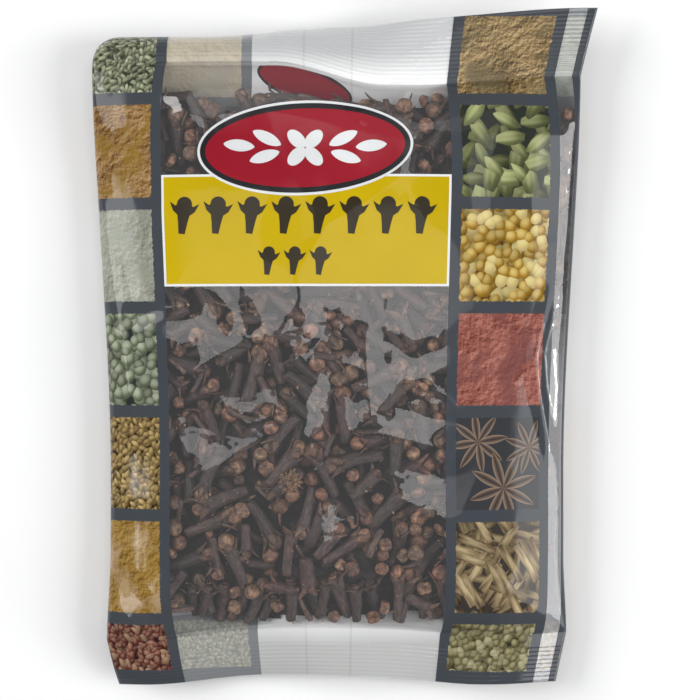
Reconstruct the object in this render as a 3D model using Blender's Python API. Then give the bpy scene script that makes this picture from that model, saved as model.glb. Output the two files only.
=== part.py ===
"""A sealed clear film pack of whole cloves, lying on its back with its shown side up.

The film is a tube with a welded band across each end and a fin weld along its back.
+X runs across the pack, +Y towards its top band and +Z out of the side that is shown.
The pack is one closed solid: a filled pillow whose film bulges over the cloves in it.
"""
import math
import random

import bmesh
import bpy
import numpy as np

# Driving dimensions in metres
PACK_THICKNESS = 0.020       # highest crown above the floor, before the clove bumps
RIM_HEIGHT = 0.0085          # height of the two side folds above the floor
BELLY_DEPTH = 0.0135         # how far the back would hang below its rims with no floor
HALF_WIDTH_TOP = 0.0682      # half width where the top weld begins
HALF_WIDTH_WAIST = 0.0638    # half width of the filled lower half
TOP_BAND = 0.019             # height of the welded band at the top, laid flat
BOTTOM_BAND = 0.014          # height of the welded band at the bottom, laid flat
TOP_LINE = 0.0738            # where the top band begins, above the pack's middle
BOTTOM_LINE = -0.0805        # where the bottom band begins
TOP_LINE_RISE = 0.0062       # how much further up the top band begins over its left half
TOP_RIGHT_RISE = 0.0027      # the same at its right end
BOTTOM_LINE_RISE = 0.0010    # how much further up the bottom band begins at its right end
BOTTOM_MIDDLE_RISE = 0.0028  # how much further up it begins in the middle, drawn in by the fill
TOP_FLARE = 0.0045           # how far the top band's right end spreads outwards
BOTTOM_TUCK = 0.0030         # how far each end of the bottom band draws in
WELD_THICKNESS = 0.0006      # the films of a welded band together
CRIMP_PITCH = 0.0019         # from one crimp ridge to the next
CRIMP_DEPTH = 0.0003         # height of a crimp ridge each way
FIN_LEFT = -0.0095           # the fin weld's two edges on the back
FIN_RIGHT = 0.0040
FIN_RELIEF = 0.0005          # how far the folded fin stands off the back
TOP_END_REACH = 0.040        # how far from each band the pack reaches full thickness
BOTTOM_END_REACH = 0.036

# How the two bands stand and curl
TOP_BAND_HEIGHT = 0.0132     # height of the top band's beginning, at its middle
TOP_BAND_WAVE = 0.0012
TOP_BAND_PROP = 0.0024       # how much higher its left half stands, propped on its rolled edge
BOTTOM_BAND_HEIGHT = 0.0098
BOTTOM_BAND_WAVE = 0.0022
TOP_CURL = 2.35              # radians that the top band's left end rolls back and down
TOP_CURL_FROM = 0.55         # where along the half width that roll starts
TOP_CORNER_CURL = 1.2        # radians more at the left corner, which rounds it off
TOP_CORNER_DROP = 0.0026     # how far down that corner starts
TOP_CORNER_SPAN = 0.10       # share of the half width that the rounded corner takes up
TOP_LIFT = 0.30              # radians that the top band's right end turns up
BOTTOM_CURL = 0.60           # radians that the bottom band's left end turns down

# Cloves that press against the film
CLOVE_LENGTH = 0.0165
CLOVE_HEAD_RADIUS = 0.0034
CLOVE_STEM_RADIUS = 0.0026
CLOVE_BUMP = 0.0016
CLOVE_COUNT = 260
CLOVE_SEED = 7

# How finely the film is divided
FRONT_COLUMNS = 42
SIDE_BACK_COLUMNS = 6
BODY_ROWS = 50
PROFILE_SAMPLES = 160

# The print's fields, as shares of the shown side's half width and of the body's length
WINDOW_LEFT = -0.74
WINDOW_RIGHT = 0.48
LABEL_LOW = 0.63
LABEL_HIGH = 0.83


def smooth(x):
    """An S-curve from 0 to 1."""
    x = min(1.0, max(0.0, x))
    return x * x * (3.0 - 2.0 * x)


def clear_scene():
    """Remove what the file opened with."""
    for obj in list(bpy.data.objects):
        bpy.data.objects.remove(obj, do_unlink=True)


def make_material(name, color, roughness):
    """A plain film or print colour."""
    material = bpy.data.materials.new(name)
    material.use_nodes = True
    shader = material.node_tree.nodes["Principled BSDF"]
    shader.inputs["Base Color"].default_value = (*color, 1.0)
    shader.inputs["Roughness"].default_value = roughness
    shader.inputs["Metallic"].default_value = 0.0
    return material


def half_width(v):
    """Half the pack's width at share v of the way from the bottom band to the top one."""
    shoulder = smooth((v - 0.30) / 0.70)
    foot = 0.0008 * (1.0 - smooth(v / 0.15))
    return HALF_WIDTH_WAIST + (HALF_WIDTH_TOP - HALF_WIDTH_WAIST) * shoulder + foot


def corner_round(t):
    """0 along the top band and 1 at its left end, by way of a quarter circle."""
    share = min(1.0, max(0.0, (TOP_CORNER_SPAN - 1.0 - t) / TOP_CORNER_SPAN))
    return 1.0 - math.sqrt(1.0 - share * share)


def top_line(t):
    """Y where the top band begins, at share t of the half width."""
    left = TOP_LINE_RISE * smooth((0.20 - t) / 0.45)
    right = TOP_RIGHT_RISE * smooth((t - 0.30) / 0.66)
    return TOP_LINE + left + right - TOP_CORNER_DROP * corner_round(t)


def bottom_line(t):
    """Y where the bottom band begins."""
    middle = BOTTOM_MIDDLE_RISE * smooth(1.0 - abs(t + 0.12) / 0.75)
    return BOTTOM_LINE + BOTTOM_LINE_RISE * t + middle


def top_band_height(t):
    """Height of the line where the top band begins."""
    propped = TOP_BAND_PROP * smooth(0.2 - 1.4 * t)
    return TOP_BAND_HEIGHT + TOP_BAND_WAVE * math.cos(math.pi * t + 0.4) + propped


def bottom_band_height(t):
    """Height of the line where the bottom band begins, bowed because the fill draws it in."""
    return BOTTOM_BAND_HEIGHT + BOTTOM_BAND_WAVE * math.cos(2.6 * math.pi * t + 0.5)


def end_swell(distance, reach):
    """How full the pack is at a distance from a band: 0 at the band, 1 past its reach."""
    share = min(1.0, max(0.0, distance / reach))
    return (1.0 - (1.0 - share) ** 2.2) ** 0.65


def scatter_cloves():
    """Seeded cloves under the shown side: two ends of each, in plan."""
    draw = random.Random(CLOVE_SEED)
    cloves = []
    for _ in range(CLOVE_COUNT):
        x = draw.uniform(-HALF_WIDTH_TOP, HALF_WIDTH_TOP)
        y = draw.uniform(BOTTOM_LINE, TOP_LINE)
        turn = draw.uniform(0.0, 2.0 * math.pi)
        length = CLOVE_LENGTH * draw.uniform(0.75, 1.1)
        height = draw.uniform(0.55, 1.0)
        cloves.append((x, y, x + length * math.cos(turn), y + length * math.sin(turn), height))
    return np.array(cloves)


def clove_bump(cloves, x, y):
    """How far the cloves push the film out at one place."""
    ax, ay, bx, by, height = cloves.T
    dx = bx - ax
    dy = by - ay
    along = np.clip(((x - ax) * dx + (y - ay) * dy) / (dx * dx + dy * dy), 0.0, 1.0)
    away = np.hypot(x - ax - along * dx, y - ay - along * dy)
    radius = np.where(along < 0.2, CLOVE_HEAD_RADIUS, CLOVE_STEM_RADIUS)
    return CLOVE_BUMP * float(np.max(height * np.clip(1.0 - (away / radius) ** 2, 0.0, None)))


def section_heights(t, v):
    """Heights of the shown film, the side rim's level and the back film at one place."""
    y_low = bottom_line(t)
    y_high = top_line(t)
    y = y_low + (y_high - y_low) * v
    from_top = y_high - y
    from_bottom = y - y_low
    swell = end_swell(from_top, TOP_END_REACH) * end_swell(from_bottom, BOTTOM_END_REACH)
    near_top = 1.0 - smooth(from_top / TOP_END_REACH)
    near_bottom = 1.0 - smooth(from_bottom / BOTTOM_END_REACH)
    middle = RIM_HEIGHT
    middle += (top_band_height(t) - RIM_HEIGHT) * near_top
    middle += (bottom_band_height(t) - RIM_HEIGHT) * near_bottom
    weld = 0.5 * WELD_THICKNESS * (1.0 - abs(t) ** 16) ** 0.5
    crown = (PACK_THICKNESS - RIM_HEIGHT) * swell * (1.0 - abs(t) ** 2.7) ** 0.52
    belly = BELLY_DEPTH * swell * (1.0 - abs(t) ** 2.6) ** 0.5
    return y, middle + weld + crown, middle - weld - belly


def even_shares(heights, width, shares):
    """Places across a section whose spacing along the bent film follows the given shares."""
    t = np.sin(np.linspace(-0.5 * math.pi, 0.5 * math.pi, PROFILE_SAMPLES))
    z = np.array([heights(value) for value in t])
    step = np.hypot(np.diff(t) * width, np.diff(z))
    run = np.concatenate([[0.0], np.cumsum(step)])
    return np.interp(np.array(shares) * run[-1], run, t)


def front_shares():
    """Evenly spaced columns over the shown side, its two rims included."""
    return [i / FRONT_COLUMNS for i in range(FRONT_COLUMNS + 1)]


def back_places(width):
    """Columns across the back from its right rim to its left, with the fin's edges among them."""
    beside = 0.0016
    right = FIN_RIGHT / width
    left = FIN_LEFT / width
    gap = beside / width
    places = []
    for i in range(1, SIDE_BACK_COLUMNS):
        share = math.sin(0.5 * math.pi * (1.0 - i / SIDE_BACK_COLUMNS))
        places.append((right + gap + (1.0 - right - gap) * share, "film"))
    places += [(right + gap, "beside"), (right, "fin"), (left, "fin"), (left - gap, "beside")]
    for i in range(1, SIDE_BACK_COLUMNS):
        share = math.sin(0.5 * math.pi * i / SIDE_BACK_COLUMNS)
        places.append((left - gap - (1.0 + left - gap) * share, "film"))
    return places


def body_row(v, cloves):
    """One closed ring of points round the filled body."""
    width = half_width(v)
    points = []
    front = even_shares(lambda t: section_heights(t, v)[1], width, front_shares())
    for t in front:
        y, z, _ = section_heights(t, v)
        cover = smooth((1.0 - abs(t)) / 0.12) * smooth(v / 0.06) * smooth((1.0 - v) / 0.06)
        z += cover * (clove_bump(cloves, width * t, y) - 0.4 * CLOVE_BUMP)
        points.append((width * t, y, z))
    for t, kind in back_places(width):
        y, _, z = section_heights(t, v)
        if kind == "fin":
            z -= FIN_RELIEF
        floor = FIN_RELIEF if kind == "beside" else 0.0
        points.append((width * t, y, max(floor, z)))
    return points


def band_row(distance, crimp, at_top):
    """One closed ring of a welded band, at a distance out along it from where it begins."""
    points = []
    width = half_width(1.0 if at_top else 0.0)
    reach = TOP_BAND if at_top else BOTTOM_BAND
    out = 1.0 if at_top else -1.0
    share = distance / reach
    shares = [(2.0 * value - 1.0, "front") for value in front_shares()]
    for t, kind in shares + back_places(width):
        if at_top:
            curl = TOP_CURL * smooth((TOP_CURL_FROM - t) / (2.0 * TOP_CURL_FROM))
            curl += TOP_CORNER_CURL * corner_round(t) - TOP_LIFT * smooth((t - 0.4) / 0.6)
            start_y = top_line(t)
            start_z = top_band_height(t)
            x = width * t + TOP_FLARE * share * max(0.0, t)
        else:
            curl = BOTTOM_CURL * smooth(0.5 - 0.6 * t)
            start_y = bottom_line(t)
            start_z = bottom_band_height(t)
            x = (width - BOTTOM_TUCK * share) * t
        turn = curl * share
        if abs(curl) < 1e-6:
            run, drop = distance, 0.0
        else:
            run = reach / curl * math.sin(turn)
            drop = reach / curl * (1.0 - math.cos(turn))
        side = 1.0 if kind == "front" else -1.0
        depth = 0.5 * WELD_THICKNESS * (1.0 - min(1.0, abs(t)) ** 16) ** 0.5
        if kind == "fin":
            depth += FIN_RELIEF
        offset = side * depth + crimp
        y = start_y + out * (run + offset * math.sin(turn))
        z = start_z - drop + offset * math.cos(turn)
        points.append((x, y, z))
    return points


def band_rows(at_top):
    """The rings of one band, from where it begins to its cut edge."""
    reach = TOP_BAND if at_top else BOTTOM_BAND
    steps = 2 * round(reach / CRIMP_PITCH)
    rows = []
    for i in range(1, steps + 1):
        ridge = CRIMP_DEPTH if i % 2 else -CRIMP_DEPTH
        rows.append(band_row(reach * i / steps, ridge if i < steps else 0.0, at_top))
    return rows


def close_end(bm, ring, flip):
    """Close a band's cut edge between its shown film and its back film."""
    front = ring[:FRONT_COLUMNS + 1]
    back = [ring[0]] + ring[:FRONT_COLUMNS:-1] + [ring[FRONT_COLUMNS]]
    i = 0
    j = 0
    while i < len(front) - 1 or j < len(back) - 1:
        step_front = j == len(back) - 1
        if not step_front and i < len(front) - 1:
            step_front = front[i + 1].co.x < back[j + 1].co.x
        ahead = front[i + 1] if step_front else back[j + 1]
        corners = [front[i], ahead, back[j]]
        if len(set(corners)) == 3:
            bm.faces.new(corners[::-1] if flip else corners)
        if step_front:
            i += 1
        else:
            j += 1


def print_field(x, y, z_up):
    """Which of the pack's materials a face shows: 0 band, 1 window, 2 label, 3 white back."""
    t = x / HALF_WIDTH_WAIST
    if not z_up:
        return 3 if -0.75 < t < 0.75 else 0
    if not WINDOW_LEFT < t < WINDOW_RIGHT:
        return 0
    v = (y - BOTTOM_LINE) / (TOP_LINE - BOTTOM_LINE)
    return 2 if LABEL_LOW < v < LABEL_HIGH else 1


def make_pack():
    """Skin the rings, close both ends and centre the solid over its floor."""
    cloves = scatter_cloves()
    body = []
    for i in range(BODY_ROWS + 1):
        even = i / BODY_ROWS
        eased = 0.5 - 0.5 * math.cos(math.pi * even)
        body.append(body_row(0.55 * even + 0.45 * eased, cloves))
    rows = band_rows(False)[::-1] + body + band_rows(True)
    points = np.array(rows)
    low = points.min(axis=(0, 1))
    high = points.max(axis=(0, 1))
    points -= np.array([(low[0] + high[0]) / 2.0, (low[1] + high[1]) / 2.0, low[2]])

    bm = bmesh.new()
    rings = [[bm.verts.new(point) for point in row] for row in points]
    count = len(rings[0])
    for lower, upper in zip(rings, rings[1:]):
        for i in range(count):
            j = (i + 1) % count
            bm.faces.new((lower[i], lower[j], upper[j], upper[i]))
    close_end(bm, rings[0], True)
    close_end(bm, rings[-1], False)
    bmesh.ops.recalc_face_normals(bm, faces=bm.faces)
    for face in bm.faces:
        place = face.calc_center_median()
        face.material_index = print_field(place.x, place.y, face.normal.z > 0.0)
        face.smooth = True

    mesh = bpy.data.meshes.new("clove_pack")
    bm.to_mesh(mesh)
    bm.free()
    mesh.materials.append(make_material("navy_print", (0.020, 0.035, 0.055), 0.30))
    mesh.materials.append(make_material("clear_window", (0.060, 0.038, 0.028), 0.25))
    mesh.materials.append(make_material("yellow_label", (0.760, 0.560, 0.010), 0.30))
    mesh.materials.append(make_material("white_back", (0.720, 0.730, 0.740), 0.35))
    pack = bpy.data.objects.new("clove_pack", mesh)
    bpy.context.scene.collection.objects.link(pack)
    return pack


def main():
    clear_scene()
    make_pack()


main()
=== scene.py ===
# A sealed clear film pack of whole cloves, lying on its back with its shown side up.
import math

import bpy
import numpy as np
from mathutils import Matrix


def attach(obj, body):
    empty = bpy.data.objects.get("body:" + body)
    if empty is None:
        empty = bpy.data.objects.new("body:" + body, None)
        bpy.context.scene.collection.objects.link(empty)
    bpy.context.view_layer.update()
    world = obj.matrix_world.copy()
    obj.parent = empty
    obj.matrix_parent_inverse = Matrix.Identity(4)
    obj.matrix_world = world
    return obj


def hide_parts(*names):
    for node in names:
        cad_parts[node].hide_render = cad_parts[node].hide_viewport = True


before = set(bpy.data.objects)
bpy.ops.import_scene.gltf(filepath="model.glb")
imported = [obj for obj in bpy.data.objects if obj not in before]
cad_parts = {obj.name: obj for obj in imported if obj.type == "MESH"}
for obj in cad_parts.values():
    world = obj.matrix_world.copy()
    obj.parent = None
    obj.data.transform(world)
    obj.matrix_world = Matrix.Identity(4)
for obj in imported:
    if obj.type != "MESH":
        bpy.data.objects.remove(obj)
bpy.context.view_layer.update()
print("frame loaded")

# The pack's own form, in metres, as its solid has it
packForm = {
    "crown": 0.020,              # height of the filled middle
    "rim": 0.0085,               # height of the two side folds
    "bellyDepth": 0.0135,        # how far the back would hang with no floor
    "halfWidthTop": 0.0682,
    "halfWidthWaist": 0.0638,
    "topBand": 0.019,            # welded bands, laid flat
    "bottomBand": 0.014,
    "topLine": 0.0738,           # where each band begins
    "bottomLine": -0.0805,
    "topLineRise": 0.0062,
    "topRightRise": 0.0027,
    "bottomLineRise": 0.0010,
    "bottomMiddleRise": 0.0028,
    "topCornerDrop": 0.0026,
    "topCornerSpan": 0.10,
    "topFlare": 0.0045,
    "bottomTuck": 0.0030,
    "topReach": 0.040,           # how far from each band the pack is full
    "bottomReach": 0.036,
    "topBandHeight": 0.0132,
    "topBandWave": 0.0012,
    "topBandProp": 0.0024,
    "bottomBandHeight": 0.0098,
    "bottomBandWave": 0.0022,
    "topCurl": 2.35,             # radians that the top band rolls back at its left
    "topCurlFrom": 0.55,
    "topCornerCurl": 1.2,
    "topLift": 0.30,
    "bottomCurl": 0.60,
}


def smooth(x):
    x = np.clip(x, 0.0, 1.0)
    return x * x * (3.0 - 2.0 * x)


def between(a, b, share):
    return a + (b - a) * share


def halfWidth(v):
    shoulder = smooth((v - 0.30) / 0.70)
    foot = 0.0008 * (1.0 - smooth(v / 0.15))
    return between(packForm["halfWidthWaist"], packForm["halfWidthTop"], shoulder) + foot


def cornerRound(t):
    span = packForm["topCornerSpan"]
    share = np.clip((span - 1.0 - t) / span, 0.0, 1.0)
    return 1.0 - np.sqrt(1.0 - share * share)


def topLine(t):
    left = packForm["topLineRise"] * smooth((0.20 - t) / 0.45)
    right = packForm["topRightRise"] * smooth((t - 0.30) / 0.66)
    return packForm["topLine"] + left + right - packForm["topCornerDrop"] * cornerRound(t)


def bottomLine(t):
    middle = packForm["bottomMiddleRise"] * smooth(1.0 - np.abs(t + 0.12) / 0.75)
    return packForm["bottomLine"] + packForm["bottomLineRise"] * t + middle


def topBandHeight(t):
    propped = packForm["topBandProp"] * smooth(0.2 - 1.4 * t)
    return packForm["topBandHeight"] + packForm["topBandWave"] * np.cos(np.pi * t + 0.4) + propped


def bottomBandHeight(t):
    wave = np.cos(2.6 * np.pi * t + 0.5)
    return packForm["bottomBandHeight"] + packForm["bottomBandWave"] * wave


def endSwell(distance, reach):
    share = np.clip(distance / reach, 0.0, 1.0)
    return (1.0 - (1.0 - share) ** 2.2) ** 0.65


def filmLevels(t, y):
    # heights of the shown film and of the back film, at share t across and y along
    t = np.clip(t, -1.0, 1.0)
    fromTop = topLine(t) - y
    fromBottom = y - bottomLine(t)
    swell = endSwell(fromTop, packForm["topReach"]) * endSwell(fromBottom, packForm["bottomReach"])
    nearTop = 1.0 - smooth(fromTop / packForm["topReach"])
    nearBottom = 1.0 - smooth(fromBottom / packForm["bottomReach"])
    middle = packForm["rim"] + (topBandHeight(t) - packForm["rim"]) * nearTop
    middle = middle + (bottomBandHeight(t) - packForm["rim"]) * nearBottom
    weld = filmForm["weld"] * np.sqrt(1.0 - np.abs(t) ** 16)
    crown = (packForm["crown"] - packForm["rim"]) * swell * (1.0 - np.abs(t) ** 2.7) ** 0.52
    belly = packForm["bellyDepth"] * swell * np.sqrt(1.0 - np.abs(t) ** 2.6)
    return middle + weld + crown, middle - weld - belly


def shareAcross(x, y):
    v = (y - packForm["bottomLine"]) / (packForm["topLine"] - packForm["bottomLine"])
    return x / halfWidth(v)


# Film: places round the tube count from the middle of the shown side, in metres
filmForm = {
    "flatHalf": 0.070,           # half the flat tube
    "weld": 0.00012,             # from the weld's middle to each film
    "crimpPitch": 0.00118,
    "crimpDepth": 0.000046,
    "cell": 0.00078,             # how finely the shown side is divided
    "backCell": 0.0016,
    "crimpRows": 5,              # rows for one crimp ridge
    "settle": 0.00045,           # how far the film sinks towards its fill
    "imprint": 0.045,            # how much of the cloves' relief shows through it
    "drape": 0.0016,             # how near below the film a clove has to reach to lift it
    "drapeBlur": 24,
    "floorGap": 0.00002,
    "bellyGap": 0.00028,         # room under the back for the folded fin
    "backingDepth": 0.00006,     # how far inside the film its back print's pale side lies
    "finOuter": 0.00021,         # the folded fin's two faces, out from the film
    "finInner": 0.00003,
    "finMargin": 0.0014,         # narrow columns beside the fin, where the film steps up over it
    "arcSteps": 240,             # how finely the way round the pack is measured
    "facets": ((0.028, 1.5), (0.013, 1.0)),      # spacing and depth of its shallow hollows
    "seed": 11,
    "windowLeft": -0.0487,
    "windowRight": 0.0315,
    "bandWidth": 0.0310,
    "stripWidth": 0.0050,
    "finLeft": 0.1358,
    "finRight": 0.1495,
    "labelLow": 0.0175,
    "labelHigh": 0.0484,
}

# Creases and dents in the shown film: places, height and the width of each flank
filmFolds = [
    {"path": [(0.0608, 0.020), (0.0571, 0.006), (0.0552, -0.001), (0.0560, -0.011), (0.0591, -0.026),
              (0.0605, -0.036)],
     "height": 0.0009, "flank": 0.0028},
    {"path": [(-0.0600, 0.0080), (-0.0480, 0.0120), (-0.0370, 0.0125)], "height": -0.0010, "flank": 0.0042},
    {"path": [(-0.0500, -0.0125), (-0.0250, 0.0036), (-0.0120, 0.0060)], "height": 0.0008, "flank": 0.0085},
    {"path": [(-0.0330, 0.0200), (-0.0250, 0.0036)], "height": 0.0006, "flank": 0.0060},
    {"path": [(0.0130, 0.0035), (0.0210, -0.0030), (0.0300, 0.0005)], "height": -0.0007, "flank": 0.0050},
    {"path": [(0.0075, 0.0010), (0.0098, -0.0225)], "height": 0.0007, "flank": 0.0070},
    {"path": [(0.0098, -0.0225), (0.0320, -0.0280)], "height": 0.0007, "flank": 0.0070},
    {"path": [(0.0098, -0.0225), (-0.0150, -0.0400), (-0.0300, -0.0600)],
     "height": 0.0005, "flank": 0.0090},
    {"path": [(-0.0640, -0.0800), (-0.0470, -0.0680), (-0.0400, -0.0560)],
     "height": 0.0010, "flank": 0.0055},
    {"path": [(-0.0600, -0.0640), (-0.0480, -0.0790)], "height": -0.0010, "flank": 0.0050},
    {"path": [(-0.0480, -0.0782), (0.0040, -0.0776), (0.0320, -0.0745)],
     "height": 0.0004, "flank": 0.0016},
    {"path": [(-0.0640, 0.0300), (-0.0560, -0.0250)], "height": 0.0007, "flank": 0.0040},
    {"path": [(0.0420, -0.0740), (0.0520, -0.0560)], "height": 0.0008, "flank": 0.0050},
    {"path": [(0.0500, 0.0700), (0.0420, 0.0500), (0.0450, 0.0300)], "height": 0.0006, "flank": 0.0060},
    {"path": [(-0.0450, 0.0720), (-0.0350, 0.0560)], "height": 0.0007, "flank": 0.0060},
    {"path": [(0.0100, 0.0730), (0.0060, 0.0620)], "height": 0.0007, "flank": 0.0050},
]


def foldRelief(x, y):
    relief = np.zeros_like(x)
    for fold in filmFolds:
        path = np.array(fold["path"])
        runs = np.hypot(*np.diff(path, axis=0).T)
        total = runs.sum()
        best = np.full_like(x, 9.0)
        along = np.zeros_like(x)
        gone = 0.0
        for start, end, run in zip(path, path[1:], runs):
            step = end - start
            share = np.clip(((x - start[0]) * step[0] + (y - start[1]) * step[1]) / run ** 2, 0.0, 1.0)
            away = np.hypot(x - start[0] - share * step[0], y - start[1] - share * step[1])
            nearer = away < best
            best = np.where(nearer, away, best)
            along = np.where(nearer, (gone + share * run) / total, along)
            gone += run
        fade = np.sqrt(np.clip(4.0 * along * (1.0 - along), 0.05, 1.0))
        relief += fold["height"] * fade * np.clip(1.0 - best / fold["flank"], 0.0, None)
    return relief


def facetRelief(x, y, draw):
    # shallow hollows that meet in creases, as a taut film takes between its folds
    relief = np.zeros_like(x)
    for spacing, depth in filmForm["facets"]:
        seeds = []
        for row in np.arange(-0.09, 0.09, spacing):
            for column in np.arange(-0.08, 0.08, spacing):
                seeds.append((column + draw.uniform(-0.4, 0.4) * spacing,
                              row + draw.uniform(-0.4, 0.4) * spacing))
        nearest = np.full_like(x, 9.0)
        for sx, sy in seeds:
            nearest = np.minimum(nearest, (x - sx) ** 2 + (y - sy) ** 2)
        relief += depth * (nearest - 0.12 * spacing ** 2)
    return relief


# A height grid over the whole pack, for the heap and the film that lies on it
heapGrid = {
    "cell": 0.0005,
    "left": -0.0730,
    "low": -0.0850,
    "columns": 293,
    "rows": 341,
}


def gridPlaces():
    x = heapGrid["left"] + heapGrid["cell"] * np.arange(heapGrid["columns"])
    y = heapGrid["low"] + heapGrid["cell"] * np.arange(heapGrid["rows"])
    return np.meshgrid(x, y)


def gridCell(x, y):
    column = np.rint((x - heapGrid["left"]) / heapGrid["cell"]).astype(int)
    row = np.rint((y - heapGrid["low"]) / heapGrid["cell"]).astype(int)
    return np.clip(row, 0, heapGrid["rows"] - 1), np.clip(column, 0, heapGrid["columns"] - 1)


def readGrid(grid, x, y):
    # the grid's value at any place, blended between its cells
    column = np.clip((x - heapGrid["left"]) / heapGrid["cell"], 0, heapGrid["columns"] - 1.001)
    row = np.clip((y - heapGrid["low"]) / heapGrid["cell"], 0, heapGrid["rows"] - 1.001)
    c = column.astype(int)
    r = row.astype(int)
    fc = column - c
    fr = row - r
    low = grid[r, c] * (1 - fc) + grid[r, c + 1] * fc
    high = grid[r + 1, c] * (1 - fc) + grid[r + 1, c + 1] * fc
    return low * (1 - fr) + high * fr


def blurred(grid, times):
    for _ in range(times):
        wide = np.pad(grid, 1, mode="edge")
        grid = (wide[:-2, 1:-1] + wide[2:, 1:-1] + wide[1:-1, :-2] + wide[1:-1, 2:]) / 4.0
    return grid


# The heap's own ends, in metres: the pack is empty film beyond them, next to each band
heapEdges = {
    "inside": 0.985,             # the share of the pack's half width that counts as inside the film
    "topAcross": (-0.048, -0.038, -0.033, -0.027, -0.010, 0.018, 0.026, 0.065),
    "topAlong": (0.0724, 0.0722, 0.0700, 0.0720, 0.0715, 0.0700, 0.0715, 0.0740),
    "footAcross": (-0.060, -0.048, -0.041, -0.034, -0.023, 0.004, 0.029, 0.060),
    "footAlong": (-0.0715, -0.0735, -0.0758, -0.0778, -0.0792, -0.0785, -0.0768, -0.0760),
    "bareFrom": 0.0605,          # the right fold is bare film from here out, in its lower half
    "bareTop": 0.004,
}

gridX, gridY = gridPlaces()
gridShare = shareAcross(gridX, gridY)
shownLevel, backLevel = filmLevels(gridShare, gridY)
insidePack = (gridY > bottomLine(gridShare)) & (gridY < topLine(gridShare))
insidePack &= np.abs(gridShare) < heapEdges["inside"]
shownLevel = np.where(insidePack, shownLevel, -1.0)
backLevel = np.where(insidePack, np.maximum(backLevel, filmForm["bellyGap"]), 1.0)
foldCover = smooth((1.0 - np.abs(gridShare)) / 0.10)
foldCover *= smooth((topLine(gridShare) - gridY) / 0.006) * smooth((gridY - bottomLine(gridShare)) / 0.003)
heapTopEdge = np.interp(gridX, heapEdges["topAcross"], heapEdges["topAlong"])
heapFootEdge = np.interp(gridX, heapEdges["footAcross"], heapEdges["footAlong"])
insideHeap = insidePack & (gridY < heapTopEdge) & (gridY > heapFootEdge)
insideHeap &= (gridX < heapEdges["bareFrom"]) | (gridY > heapEdges["bareTop"])
filmDraw = np.random.default_rng(filmForm["seed"])
filmRelief = foldRelief(gridX, gridY) + facetRelief(gridX, gridY, filmDraw) - filmForm["settle"]
filmRelief = foldCover * filmRelief
print("film form laid out")

# Cloves, in millimetres: the lengths of a real bud
cloveForm = {
    "stemLength": 11.4,
    "stemRadius": 2.40,
    "stemFootRadius": 1.65,
    "stemStations": (0.0, 0.03, 0.12, 0.26, 0.40, 0.54, 0.68, 0.81, 0.92, 1.0),
    "headRadius": 2.35,
    "headColumns": 16,
    "headRows": 11,
    "seamDepth": 0.13,           # of the head's radius, between two petals
    "seamWidth": 0.30,
    "seamShade": 0.75,            # how dark the painted shade in the seams is
    "toothLength": 3.1,
    "toothWidth": 3.2,
    "toothThickness": 0.42,
    "toothStations": (0.0, 0.3, 0.6, 0.85, 1.0),
    "teethSpread": {"bud": (0.30, 0.80), "open": (0.75, 1.35)},      # how far they lean out, in radians
    "rimProfile": ((-0.8, 1.45), (0.35, 1.50), (0.58, 1.28), (0.40, 0.98), (-0.15, 0.80), (-0.15, 0.26),
                   (1.05, 0.17)),            # along the stem and out from it
    "paleness": {"stem": 0.0, "tooth": 0.42, "rim": 0.60},
    "variants": 11,
    "seed": 5,
}


def ballMesh(columns, rows, radiusAt):
    # a closed ball round X, its radius read from the angle off X and the turn round it
    polar = np.linspace(0.0, np.pi, rows + 1)
    turns = np.linspace(0.0, 2.0 * np.pi, columns, endpoint=False)
    points = [(radiusAt(0.0, 0.0), 0.0, 0.0)]
    for p in polar[1:-1]:
        for a in turns:
            r = radiusAt(p, a)
            points.append((r * math.cos(p), r * math.sin(p) * math.cos(a), r * math.sin(p) * math.sin(a)))
    points.append((-radiusAt(np.pi, 0.0), 0.0, 0.0))
    faces = []
    last = 1 + (rows - 2) * columns
    for i in range(columns):
        j = (i + 1) % columns
        faces.append((0, 1 + i, 1 + j))
        for row in range(rows - 2):
            a = 1 + row * columns
            faces.append((a + i, a + columns + i, a + columns + j))
            faces.append((a + i, a + columns + j, a + j))
        faces.append((last + i, len(points) - 1, last + j))
    return np.array(points), np.array(faces)


def tubeMesh(rings):
    # skins rings of points into a closed tube with flat ends
    count = len(rings[0])
    faces = []
    for row in range(len(rings) - 1):
        a = row * count
        for i in range(count):
            j = (i + 1) % count
            faces.append((a + i, a + j, a + count + j))
            faces.append((a + i, a + count + j, a + count + i))
    last = (len(rings) - 1) * count
    for i in range(1, count - 1):
        faces.append((0, i + 1, i))
        faces.append((last, last + i, last + i + 1))
    return np.concatenate(rings), np.array(faces)


def joined(shapes):
    # several (points, faces) shapes as one
    starts = np.cumsum([0] + [len(points) for points, _ in shapes])
    return (np.concatenate([points for points, _ in shapes]),
            np.concatenate([faces + start for (_, faces), start in zip(shapes, starts)]))


def joinParts(parts):
    # joins (points, faces, tone) parts into one shape; the tone is how pale its skin is
    points, faces = joined([(shape, triangles) for shape, triangles, _ in parts])
    return points, faces, np.concatenate([np.full(len(shape), tone) for shape, _, tone in parts])


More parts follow.
